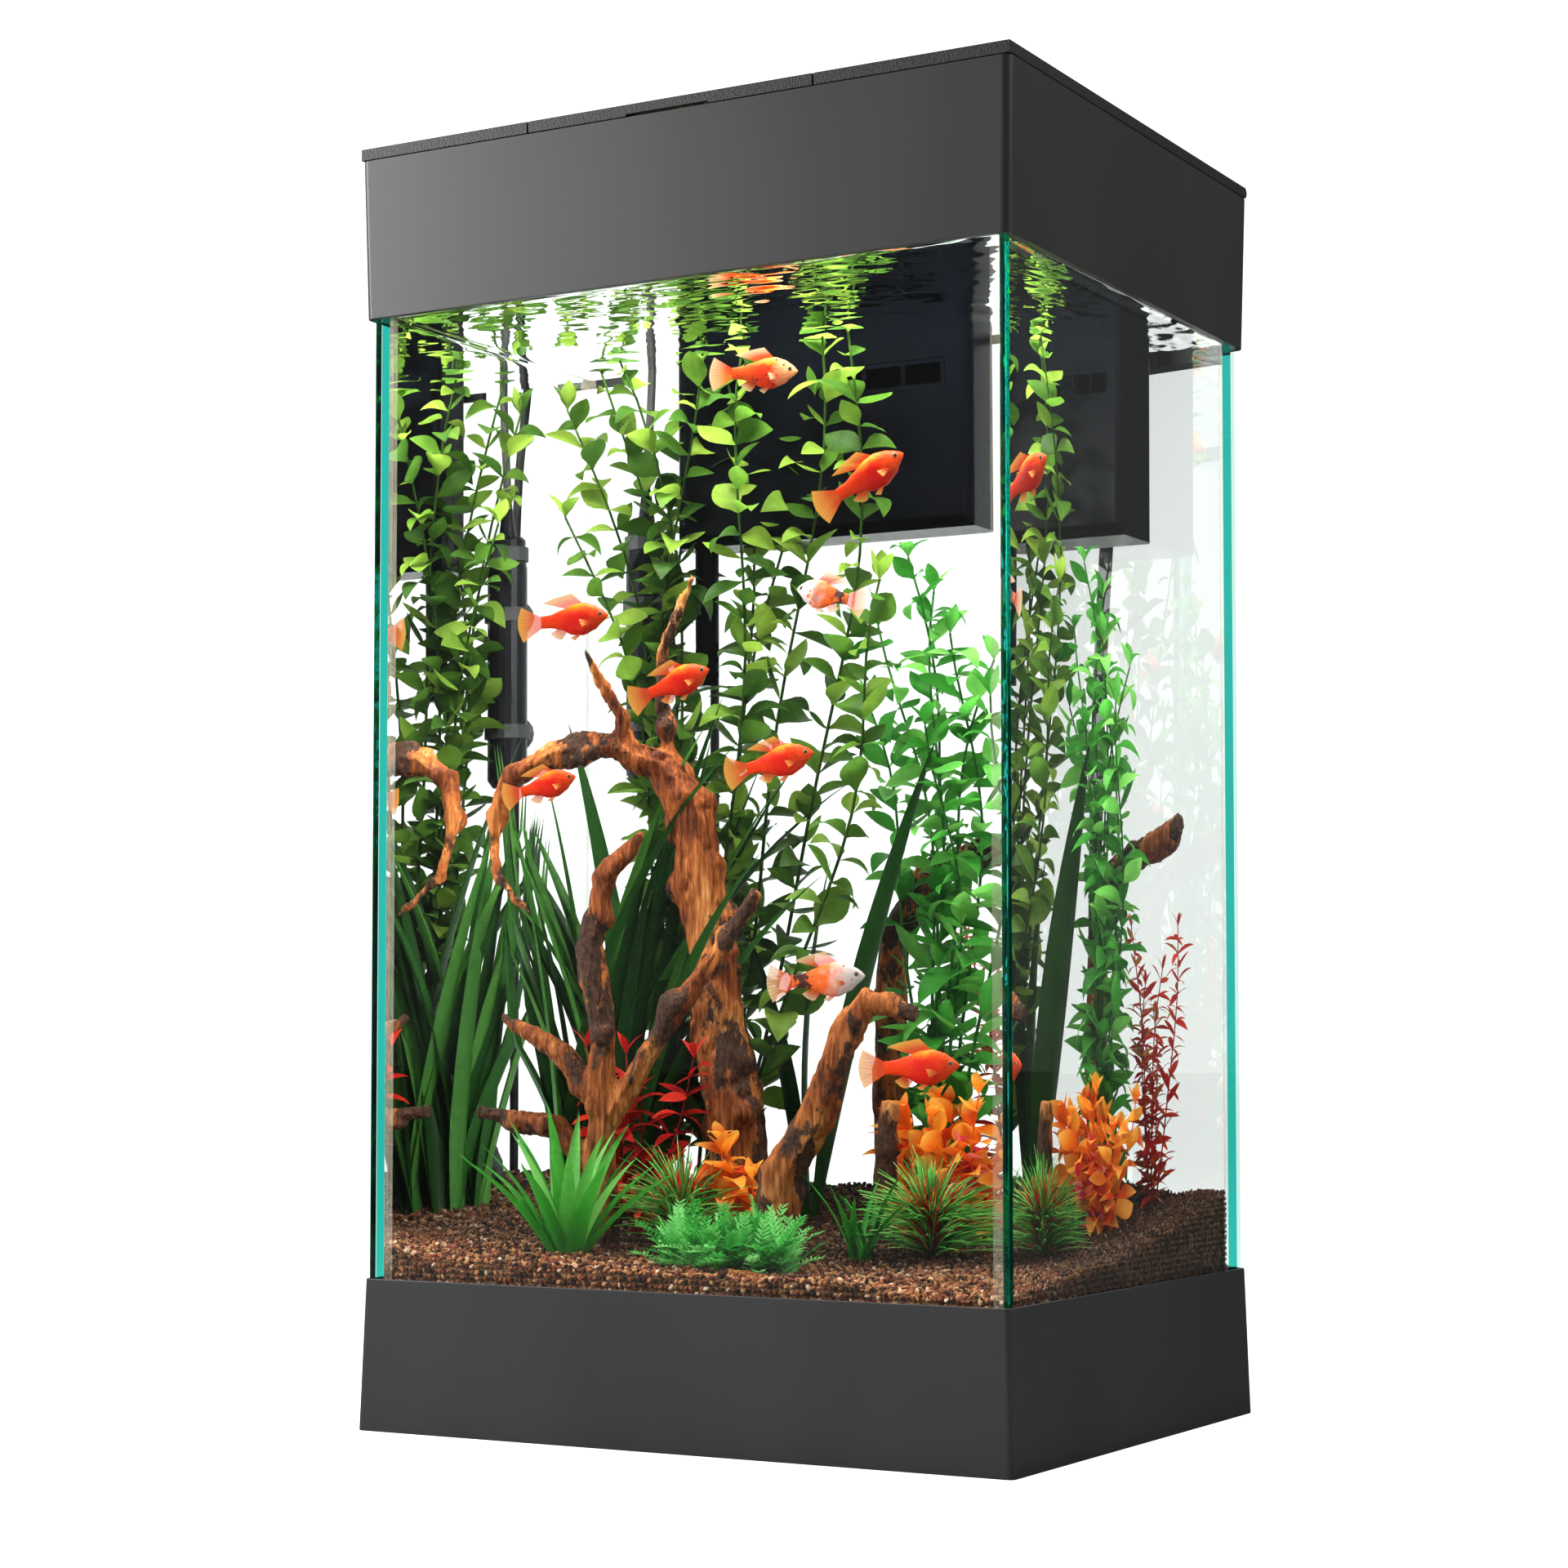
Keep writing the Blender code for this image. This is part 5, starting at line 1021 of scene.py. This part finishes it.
rosette = Growth()
low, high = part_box("rosette_plant")
for number in range(22):
    ring = number / 22
    heading = number * 2.4
    lean = 0.06 + 0.62 * ring
    foot = in_box("rosette_plant", 0.5 + 0.12 * math.cos(heading), 0.5 + 0.12 * math.sin(heading), 0.02)
    length = (high.z - low.z) * random.uniform(0.95, 1.18)
    blade(rosette, foot, heading, lean, length, 0.0110, 0.5, random.uniform(0.2, 0.95), strap, 0.45)
low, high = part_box("tuft_plant_right")
for number in range(14):
    foot = Vector((low.x - 0.012 + 0.006 * math.cos(number), low.y - 0.004, bed_height(low.x, low.y)))
    length = (high.z - low.z) * random.uniform(0.6, 1.0)
    blade(rosette, foot, number * 2.4, random.uniform(0.15, 0.8), length, 0.0042, 0.5, random.uniform(0.0, 0.5), strap, 0.45)
rosette.piece("rosette_plant_leaves", ROSETTE, "bright_green", ("rosette_plant",))

# %% [markdown]
# The tufts are bundles of thin needles, green outside and red in the middle. The low fern in front has feathery
# fronds on a dark plastic grid. Needles as flat strips vanish from the side, so each is a thin cone.

# %% Tufts and fern
TUFT = leaf_finish("tuft_needle", (0.03, 0.20, 0.03), (0.10, 0.46, 0.07), (0.40, 0.72, 0.20), glow=0.4)
TUFT_RED = leaf_finish("tuft_red", (0.38, 0.006, 0.006), (0.72, 0.02, 0.015), (0.85, 0.10, 0.03), glow=0.3)
FERN = leaf_finish("fern_green", (0.012, 0.17, 0.025), (0.075, 0.46, 0.075), (0.30, 0.76, 0.26), glow=0.4)


def needle(growth, foot, forward, length, radius, tone, bend=0.25):
    sag = Vector((0, 0, -bend * length))
    route = [foot + forward * length * t + sag * t * t for t in (0, 0.35, 0.7, 1.0)]
    growth.stem(route, (radius, radius * 0.25), tone, sides=3)


def tuft(node_name, count, red_from, red_to):
    low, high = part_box(node_name)
    height = high.z - low.z
    green, red = Growth(), Growth()
    for number in range(count):
        heading = random.uniform(0, 6.28)
        lean = random.uniform(0.0, 1.25) ** 0.9
        crown = in_box(node_name, 0.5, 0.5, random.uniform(0.12, 0.45))
        forward = Vector((math.cos(heading) * math.sin(lean), math.sin(heading) * math.sin(lean), math.cos(lean)))
        length = height * random.uniform(0.5, 0.78)
        is_red = random.random() < (red_from if lean > 0.9 else red_to)
        target = red if is_red else green
        needle(target, crown, forward, length * (0.72 if is_red else 1.0), 0.00075, random.uniform(0.1, 1))
    green.piece(node_name + "_needles", TUFT, "bright_green", (node_name,))
    red.piece(node_name + "_red_needles", TUFT_RED, "leaf_red")


tuft("tuft_plant_left", 420, 0.04, 0.55)
tuft("tuft_plant_right", 900, 0.05, 0.62)

fern = Growth()
low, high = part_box("fern_plant")
frond_leaf = leaf_sheet(1, 0.22, lance, 0.4, 0.2, rows=3, columns=2)
for number in range(190):
    foot = in_box("fern_plant", random.uniform(0.08, 0.92), random.uniform(0.15, 0.85), random.uniform(0.05, 0.35))
    heading = random.uniform(0, 6.28)
    lean = random.uniform(0.05, 1.15)
    forward = Vector((math.cos(heading) * math.sin(lean), math.sin(heading) * math.sin(lean), math.cos(lean)))
    length = random.uniform(0.024, 0.044)
    route = [foot + forward * length * t + Vector((0, 0, -0.25 * length * t * t)) for t in (0, 0.25, 0.5, 0.75, 1)]
    tone = random.uniform(0.15, 1)
    fern.stem(route, (0.0004, 0.0002), tone, sides=3)
    side = forward.cross(Vector((0, 0, 1))).normalized()
    for step in range(2, 12):
        t = step / 12
        at = foot + forward * length * t + Vector((0, 0, -0.25 * length * t * t))
        for hand in (-1, 1):
            way = forward * 0.75 + side * hand + Vector((0, 0, random.uniform(-0.3, 0.4)))
            fern.leaf(frond_leaf, at, way, forward.cross(side) * -1, tone, 0.0072 * (1.1 - 0.6 * t))
fern.piece("fern_plant_fronds", FERN, "bright_green", ("fern_plant",))

# %% [markdown]
# Low leafy plants bring the warm colours: orange with yellow tips, a deep red star, and red strands at the back
# on the right. They share the leaf sheets with the stem plants, and only the sizes and finishes change.

# %% Warm plants
ORANGE = leaf_finish("orange_leaf", (0.74, 0.05, 0.006), (0.86, 0.20, 0.012), (0.92, 0.44, 0.04), (0.93, 0.50, 0.08), 0.45)
PINK = leaf_finish("pink_leaf", (0.65, 0.03, 0.10), (0.85, 0.10, 0.20), (0.95, 0.40, 0.25), glow=0.4)
RED = leaf_finish("red_leaf", (0.16, 0.004, 0.004), (0.42, 0.010, 0.008), (0.70, 0.04, 0.02), glow=0.4)
STRAND = leaf_finish("strand_leaf", (0.45, 0.012, 0.008), (0.74, 0.03, 0.015), (0.50, 0.30, 0.06), glow=0.5)
LEAF_UP = Vector((0, 0, 1))


def low_bush(growth, node_name, stems, size, spread=(0, 1), rise=0.5, height=(0.6, 1.0), sheets=slim_leaves, pairs=2):
    for number in range(stems):
        foot = in_box(node_name, random.uniform(0.3, 0.7), random.uniform(0.3, 0.7), 0.03)
        tip = in_box(node_name, random.uniform(*spread), random.uniform(0, 1), random.uniform(*height))
        leafy_stem(growth, swaying(foot, tip, 0.002, 6), sheets, size * 0.42, size, rise, 0.0008, 0.12, per_node=pairs)


for node_name, orange_stems, pink_stems in (("orange_leaf_plant_left", 6, 0), ("orange_leaf_plant_right", 12, 6)):
    orange = Growth()
    low_bush(orange, node_name, orange_stems, 0.021, (-0.5, 1.4), sheets=broad_leaves)
    orange.piece(node_name + "_leaves", ORANGE, "leaf_orange", (node_name,))
    if pink_stems:
        pink = Growth()
        low_bush(pink, node_name, pink_stems, 0.017, (-0.4, 0.6), height=(0.4, 0.8))
        pink.piece(node_name + "_pink_leaves", PINK, "leaf_red")

red = Growth()
star_leaves = [leaf_sheet(1, 0.30, lance, droop, 0.25, rows=5, columns=2) for droop in (0.2, 0.7, 1.1)]
low_bush(red, "red_leaf_plant", 5, 0.024, (-1.2, 2.2), height=(0.5, 1.0), rise=0.15, sheets=star_leaves, pairs=3)
red.piece("red_leaf_plant_leaves", RED, "leaf_red", ("red_leaf_plant",))

needle_leaves = [leaf_sheet(1, 0.27, lance, droop, 0.2, rows=4, columns=2) for droop in (0.3, 0.7)]
strands = Growth()
for foot_x, tip_x, tip_z in ((0.40, 0.02, 1.0), (0.42, 0.25, 0.8), (0.45, 0.75, 0.85), (0.5, 0.98, 1.0), (0.46, 0.55, 0.7)):
    foot = in_box("red_strand_plant", foot_x, 0.5, 0.03)
    tip = in_box("red_strand_plant", tip_x, random.uniform(0, 1), tip_z)
    leafy_stem(strands, swaying(foot, tip, 0.004, 8), needle_leaves, 0.0075, 0.0175, 0.35, 0.0008, per_node=4)
strands.piece("red_strand_plant_leaves", STRAND, "leaf_red", ("red_strand_plant",))

# %% [markdown]
# ## Fish
# The fish are small livebearers: a deep body, a fan tail, one tall back fin and eyes with a pale ring. A stretched
# sphere with a cone behind it is the usual stand-in. Here the body is lofted through three measured outlines
# (its back, its belly and its width), and the fins are thin sheets with rays.

# %% Fish shape
BACK = [(0, 0.02), (0.04, 0.26), (0.10, 0.48), (0.2, 0.78), (0.35, 1.0), (0.5, 0.95), (0.7, 0.66), (0.85, 0.44), (1, 0.40)]
BELLY = [(0, 0.02), (0.04, 0.22), (0.10, 0.42), (0.2, 0.80), (0.38, 1.1), (0.55, 1.0), (0.7, 0.62), (0.85, 0.42), (1, 0.38)]
WIDTH = [(0, 0.03), (0.04, 0.32), (0.10, 0.56), (0.25, 0.95), (0.4, 1.0), (0.6, 0.7), (0.8, 0.35), (1, 0.14)]
BODY_SHARE = 0.74
BODY_DEPTH = 0.158
BODY_WIDTH = 0.078


def read_off(outline, t):
    """The outline's value at t, eased between its points."""
    for (t0, v0), (t1, v1) in zip(outline, outline[1:]):
        if t <= t1:
            share = (t - t0) / (t1 - t0)
            return v0 + (v1 - v0) * (0.5 * share + 0.5 * eased(share))
    return outline[-1][1]


class Fish:
    """One fish, head along +X and centred, in its own length."""

    def __init__(self, length):
        self.length = length * 1.15
        self.points, self.faces, self.parts = [], [], []
        self.along, self.height = [], []

    def grid(self, rows, part, heights=None, alongs=None):
        """Adds rows of points, as quads."""
        base = len(self.points)
        columns = len(rows[0])
        for i, row in enumerate(rows):
            for j, point in enumerate(row):
                self.points.append(Vector(point) * self.length)
                self.along.append(alongs[i][j] if alongs else 0.5 - point[0])
                self.height.append(heights[i][j] if heights else point[2] / BODY_DEPTH)
        for i in range(len(rows) - 1):
            for j in range(columns - 1):
                a = base + i * columns + j
                self.faces.append((a, a + 1, a + columns + 1, a + columns))
                self.parts.append(part)

    def body(self, rings=26, sides=20):
        rows = []
        for i in range(rings + 1):
            t = (i / rings) ** 1.25
            x = 0.5 - t * BODY_SHARE
            up = read_off(BACK, t) * BODY_DEPTH
            down = read_off(BELLY, t) * BODY_DEPTH
            wide = read_off(WIDTH, t) * BODY_WIDTH
            row = []
            for k in range(sides + 1):
                angle = 2 * math.pi * k / sides
                tall = up if math.cos(angle) > 0 else down
                row.append((x, math.sin(angle) * wide, math.cos(angle) * tall))
            rows.append(row)
        self.grid(rows, 0)
        self.grid([[(0.5 - BODY_SHARE, 0, 0)] * (sides + 1), rows[-1]], 0)

    def fin(self, root, tips, flare=0.0, rows=5):
        """A fin from a root line to a tip line. Its height runs along the rays, so the finish can stripe them."""
        count = len(root)
        grid, heights, alongs = [], [], []
        for i in range(rows + 1):
            t = i / rows
            row = []
            for j in range(count):
                a, b = Vector(root[j]), Vector(tips[j])
                point = a.lerp(b, t)
                point.y += flare * t * t + 0.004 * math.sin(j * 1.9) * t
                row.append(tuple(point))
            grid.append(row)
            heights.append([j / (count - 1) for j in range(count)])
            alongs.append([t] * count)
        self.grid(grid, 1, heights, alongs)

    def fins(self):
        end = 0.5 - BODY_SHARE
        spread = [k / 8 for k in range(9)]
        root = [(end + 0.012, 0, (0.5 - k) * 0.105) for k in spread]
        tips = [(-0.45 - 0.05 * math.sin(math.pi * k), 0, (0.5 - k) * 0.36) for k in spread]
        self.fin(root, tips)
        root = [(0.5 - BODY_SHARE * (0.36 + 0.26 * k), 0, read_off(BACK, 0.36 + 0.26 * k) * BODY_DEPTH * 0.94) for k in spread]
        tips = [(p[0] - 0.12 - 0.13 * k, 0, p[2] + 0.115 - 0.035 * k) for p, k in zip(root, spread)]
        self.fin(root, tips)
        root = [(0.5 - BODY_SHARE * (0.62 + 0.14 * k), 0, -read_off(BELLY, 0.62 + 0.14 * k) * BODY_DEPTH * 0.94) for k in spread]
        tips = [(p[0] - 0.06 - 0.02 * k, 0, p[2] - 0.085 * math.sin(math.pi * (0.3 + 0.55 * k))) for p, k in zip(root, spread)]
        self.fin(root, tips)
        for hand in (-1, 1):
            root = [(0.5 - BODY_SHARE * (0.40 + 0.05 * k), hand * 0.018, -0.150) for k in spread]
            tips = [(p[0] - 0.085 - 0.01 * k, hand * 0.03, p[2] - 0.035 - 0.03 * (1 - k)) for p, k in zip(root, spread)]
            self.fin(root, tips, hand * 0.01)
            root = [(0.5 - BODY_SHARE * 0.27, hand * 0.070, -0.035 - 0.03 * k) for k in spread]
            tips = [(p[0] - 0.115 + 0.03 * k, hand * 0.085, p[2] + 0.02 - 0.05 * k) for p, k in zip(root, spread)]
            self.fin(root, tips, hand * 0.03)

    def eyes(self, radius=0.027):
        at = 0.115
        for hand in (-1, 1):
            centre = Vector((0.5 - BODY_SHARE * at, hand * read_off(WIDTH, at) * BODY_WIDTH * 0.86, 0.022))
            rows = []
            for i in range(9):
                lean = math.pi * 0.5 * i / 8
                ring = []
                for k in range(17):
                    turn = 2 * math.pi * k / 16 * hand
                    flat = radius * math.sin(lean)
                    ring.append(tuple(centre + Vector((flat * math.cos(turn), hand * radius * 0.45 * math.cos(lean), flat * math.sin(turn)))))
                rows.append(ring)
            heights = [[math.sin(math.pi * 0.5 * i / 8)] * 17 for i in range(9)]
            self.grid(rows, 2, heights)

    def piece(self, number, finishes, heading, pitch):
        low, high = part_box(f"fish_{number}")
        turned = Matrix.Translation((low + high) / 2) @ Matrix.Rotation(math.radians(heading), 4, "Z")
        turned = turned @ Matrix.Rotation(-math.radians(pitch), 4, "Y")
        mesh = bpy.data.meshes.new(f"fish_{number}_body")
        mesh.from_pydata([tuple(turned @ p) for p in self.points], [], self.faces)
        for finish in finishes:
            mesh.materials.append(finish)
        mesh.polygons.foreach_set("material_index", self.parts)
        mesh.shade_smooth()
        for label, values in (("along", self.along), ("height", self.height)):
            mesh.attributes.new(label, "FLOAT", "POINT").data.foreach_set("value", np.array(values, np.float32))
        return mesh


# %% [markdown]
# Their red comes from the skin and their shine from rows of small scales. The colour changes from a yellow back
# to a red flank and a paler belly, and the head is lighter. The fins let light through and have fine rays. Two
# of the fish are the white kind, with a silver head and an orange back half.

# %% Fish finishes
def skin_finish(name, back, flank, belly, head, tail, spots=None, spot_edges=(0.62, 0.66), blotch=None, tail_from=0.40):
    made, tree, shader = wet_finish(name, 0.35)
    along = node(tree, "Attribute", attribute_name="along").outputs["Fac"]
    height = node(tree, "Attribute", attribute_name="height").outputs["Fac"]
    patch = between(tree, grain(tree, 240, 4), -0.2, 0.2)
    level = node(tree, "Math", {0: between(tree, height, 0.5, 1.0), 1: patch}, operation="ADD").outputs[0]
    level_colour = ramp(tree, level, (0.05, belly), (0.40, flank), (0.68, flank), (0.98, back))
    front = node(tree, "Math", {0: along, 1: patch}, operation="ADD").outputs[0]
    head_share = ramp(tree, front, (0.10, (1, 1, 1)), (0.32, (0, 0, 0)))
    with_head = node(tree, "Mix", {0: head_share, 6: level_colour, 7: (*head, 1)}, data_type="RGBA").outputs[2]
    tail_share = ramp(tree, front, (tail_from, (0, 0, 0)), (tail_from + 0.2, (1, 1, 1)))
    colour = node(tree, "Mix", {0: tail_share, 6: with_head, 7: (*tail, 1)}, data_type="RGBA").outputs[2]
    if spots:
        share = ramp(tree, grain(tree, 330, 2), (spot_edges[0], (0, 0, 0)), (spot_edges[1], (1, 1, 1)))
        colour = node(tree, "Mix", {0: share, 6: colour, 7: (*spots, 1)}, data_type="RGBA").outputs[2]
    if blotch:
        share = ramp(tree, front, (0.56, (0, 0, 0)), (0.60, (1, 1, 1)), (0.68, (1, 1, 1)), (0.72, (0, 0, 0)))
        colour = node(tree, "Mix", {0: share, 6: colour, 7: (*blotch, 1)}, data_type="RGBA").outputs[2]
    tree.links.new(colour, shader.inputs["Base Color"])
    shader.inputs["Subsurface Weight"].default_value = 0.08
    shader.inputs["Subsurface Radius"].default_value = (0.004, 0.001, 0.0006)
    bump(tree, shader, cells(tree, 1150), 0.00016)
    return made


def fin_finish(name, colour, edge, clear=0.45):
    made, tree, shader = new_finish(name, 0.4)
    rays = node(tree, "Attribute", attribute_name="height").outputs["Fac"]
    out = node(tree, "Attribute", attribute_name="along").outputs["Fac"]
    many = node(tree, "Math", {0: rays, 1: 62.0}, operation="MULTIPLY").outputs[0]
    lines = between(tree, node(tree, "Math", {0: many}, operation="SINE").outputs[0], 0.5, 1)
    tint = ramp(tree, out, (0.3, colour), (0.95, edge))
    tree.links.new(tint, shader.inputs["Base Color"])
    body = node(tree, "MixShader", {0: 0.35, 1: shader.outputs[0], 2: node(tree, "BsdfTranslucent", {"Color": tint}).outputs[0]})
    thin = node(tree, "Math", {0: lines, 1: clear}, operation="MULTIPLY").outputs[0]
    mixed = node(tree, "MixShader", {0: thin, 1: body.outputs[0], 2: node(tree, "BsdfTransparent").outputs[0]})
    tree.links.new(mixed.outputs[0], tree.nodes["Material Output"].inputs["Surface"])
    return made


EYE, tree, shader = new_finish("fish_eye", 0.08)
ring = node(tree, "Attribute", attribute_name="height").outputs["Fac"]
iris = ramp(tree, ring, (0.70, (0.004, 0.004, 0.005)), (0.76, (0.60, 0.26, 0.06)), (0.88, (0.60, 0.30, 0.12)), (0.96, (0.08, 0.03, 0.02)))
tree.links.new(iris, shader.inputs["Base Color"])

RED_SKIN = skin_finish("fish_red", (0.84, 0.20, 0.004), (0.60, 0.008, 0.002), (0.66, 0.045, 0.008), (0.70, 0.055, 0.005), (0.70, 0.035, 0.002))
SPOTTED = skin_finish(
    "fish_spotted", (0.85, 0.22, 0.01), (0.70, 0.03, 0.004), (0.75, 0.25, 0.08), (0.82, 0.34, 0.14), (0.76, 0.07, 0.006),
    spots=(0.03, 0.012, 0.01),
)
WHITE_SKIN = skin_finish(
    "fish_white", (0.80, 0.45, 0.34), (0.70, 0.46, 0.40), (0.76, 0.66, 0.62), (0.60, 0.54, 0.55), (0.78, 0.12, 0.015),
    spots=(0.30, 0.07, 0.03), spot_edges=(0.66, 0.70), blotch=(0.05, 0.015, 0.012), tail_from=0.22,
)
RED_FIN = fin_finish("fish_fin_red", (0.76, 0.06, 0.004), (0.88, 0.38, 0.06), 0.3)
PALE_FIN = fin_finish("fish_fin_pale", (0.76, 0.06, 0.008), (0.84, 0.55, 0.30), 0.4)

SHOAL = [
    (0.044, 12, -2, SPOTTED, PALE_FIN, "fish_red"),
    (0.048, 20, 30, RED_SKIN, RED_FIN, "fish_red"),
    (0.040, 168, 14, WHITE_SKIN, PALE_FIN, "fish_white"),
    (0.046, 18, 4, RED_SKIN, RED_FIN, "fish_red"),
    (0.042, 22, 20, RED_SKIN, RED_FIN, "fish_red"),
    (0.044, 15, 12, RED_SKIN, RED_FIN, "fish_red"),
    (0.038, 20, 14, RED_SKIN, RED_FIN, "fish_red"),
    (0.046, 12, 4, WHITE_SKIN, PALE_FIN, "fish_white"),
    (0.046, 10, 2, RED_SKIN, RED_FIN, "fish_red"),
]
for number, (length, heading, pitch, skin, fins, slot_name) in enumerate(SHOAL, 1):
    swimmer = Fish(length)
    swimmer.body()
    swimmer.fins()
    swimmer.eyes()
    mesh = swimmer.piece(number, (skin, fins, EYE), heading, pitch)
    add_piece(f"fish_{number}_body", mesh, skin, (f"fish_{number}",))

# %% [markdown]
# ## Lamp, foam and steel
# The lamp's lens is a ribbed milky strip, the filter's pad is open blue foam, and the hinge rods and the
# impeller's shaft are drawn steel. These are small or hidden until something opens, and flat colours would do
# at rest, but the lid and the pad do come out, so each has its own surface.

# %% Lamp, foam and steel
LENS, tree, shader = new_finish("lamp_lens", 0.35, Base_Color=(0.93, 0.95, 0.96, 1), Transmission_Weight=0.6)
ribs = node(tree, "TexWave", {"Vector": place_in(tree), "Scale": 260.0}, bands_direction="Y")
bump(tree, shader, ribs.outputs["Fac"], 0.0004)
wear("lamp_lens", LENS)

BOARD, tree, shader = new_finish("led_board", 0.5)
squares = cells(tree, 85, feature="F1", stretch=(1, 0.4, 1))
tree.links.new(ramp(tree, squares, (0.18, (0.95, 0.86, 0.42)), (0.24, (0.86, 0.88, 0.86))), shader.inputs["Base Color"])
wear("led_strip", BOARD)

FOAM, tree, shader = new_finish("filter_foam", 0.9)
pores = cells(tree, 650)
# Painted shade: the blue is darker where the bump sinks into the pores, and paler on the struts.
foam_with_painted_pore_shade = ramp(tree, pores, (0.15, (0.05, 0.16, 0.32)), (0.7, (0.16, 0.42, 0.72)))
tree.links.new(foam_with_painted_pore_shade, shader.inputs["Base Color"])
bump(tree, shader, pores, 0.0010)
wear("filter_cartridge", FOAM)

STEEL, tree, shader = new_finish("drawn_steel", 0.3, Metallic=1.0)
drawn = grain(tree, 900, 3, (0.05, 1, 1))
tree.links.new(ramp(tree, drawn, (0.3, (0.42, 0.43, 0.44)), (0.7, (0.68, 0.69, 0.70))), shader.inputs["Base Color"])
tree.links.new(between(tree, drawn, 0.2, 0.4), shader.inputs["Roughness"])
bump(tree, shader, drawn, 0.00004)
for name in ("lid_hinge_rod", "door_hinge_rod", "impeller"):
    wear(name, STEEL)

# %% [markdown]
# ## Floor and light
# The room is a plain pale floor in white air, with a large soft lamp in front on the left and the tank's own
# lamp under the lid. A dark studio with strips would draw sharper edges on the black plastic, but the tank
# would lose its bright water: what shows behind the plants is the white room itself.

# %% Floor and light
floor_finish, tree, shader = new_finish("floor", 0.7)
tone_of_floor = ramp(tree, grain(tree, 3, 2), (0.3, (0.90, 0.90, 0.90)), (0.7, (0.93, 0.93, 0.93)))
dim = {0: mirrored_only(tree), 6: tone_of_floor, 7: (0.10, 0.10, 0.10, 1)}
tree.links.new(node(tree, "Mix", dim, data_type="RGBA").outputs[2], shader.inputs["Base Color"])
tree.links.new(between(tree, plainly_seen(tree), 0.0, 0.98), shader.inputs["Emission Strength"])
shader.inputs["Emission Color"].default_value = (1, 1, 1, 1)
floor_mesh = bpy.data.meshes.new("floor")
FLOOR_HALF = 14.0
floor_mesh.from_pydata(
    [(-FLOOR_HALF, -FLOOR_HALF, 0), (FLOOR_HALF, -FLOOR_HALF, 0), (FLOOR_HALF, FLOOR_HALF, 0), (-FLOOR_HALF, FLOOR_HALF, 0)],
    [],
    [(0, 1, 2, 3)],
)
floor_mesh.materials.append(floor_finish)
ground = bpy.data.objects.new("floor", floor_mesh)
scene.collection.objects.link(ground)

world = bpy.data.worlds.new("room")
scene.world = world
world.use_nodes = True
tree = world.node_tree
background = tree.nodes["Background"]
lit = between(tree, plainly_seen(tree), 0.34, 1.35)
strength = node(tree, "Mix", {0: mirrored_only(tree), 2: lit, 3: 0.10}, data_type="FLOAT").outputs[0]
tree.links.new(strength, background.inputs["Strength"])
background.inputs["Color"].default_value = (1, 1, 1, 1)


def soft_lamp(name, place, towards, width, height, watts, colour=(1, 1, 1)):
    data = bpy.data.lights.new(name, "AREA")
    data.shape = "RECTANGLE"
    data.size, data.size_y = width, height
    data.energy = watts
    data.color = colour
    lamp = bpy.data.objects.new(name, data)
    lamp.location = place
    lamp.rotation_euler = (Vector(towards) - Vector(place)).to_track_quat("-Z", "Y").to_euler()
    scene.collection.objects.link(lamp)
    return lamp


tank_middle = (0, 0, 0.33)
soft_lamp("key", (-1.35, -1.0, 0.95), tank_middle, 0.5, 0.9, 32)
soft_lamp("fill", (1.5, 0.5, 1.6), tank_middle, 0.8, 0.8, 10)
lens_low, lens_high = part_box("lamp_lens")
lens_middle = (lens_low + lens_high) / 2
under_lens = (lens_middle.x, lens_middle.y, lens_low.z - 0.001)
glow = soft_lamp("tank_lamp", under_lens, (under_lens[0], under_lens[1], 0), 0.28, 0.05, 3.0, (1.0, 0.97, 0.9))
scene.view_settings.view_transform = "Standard"
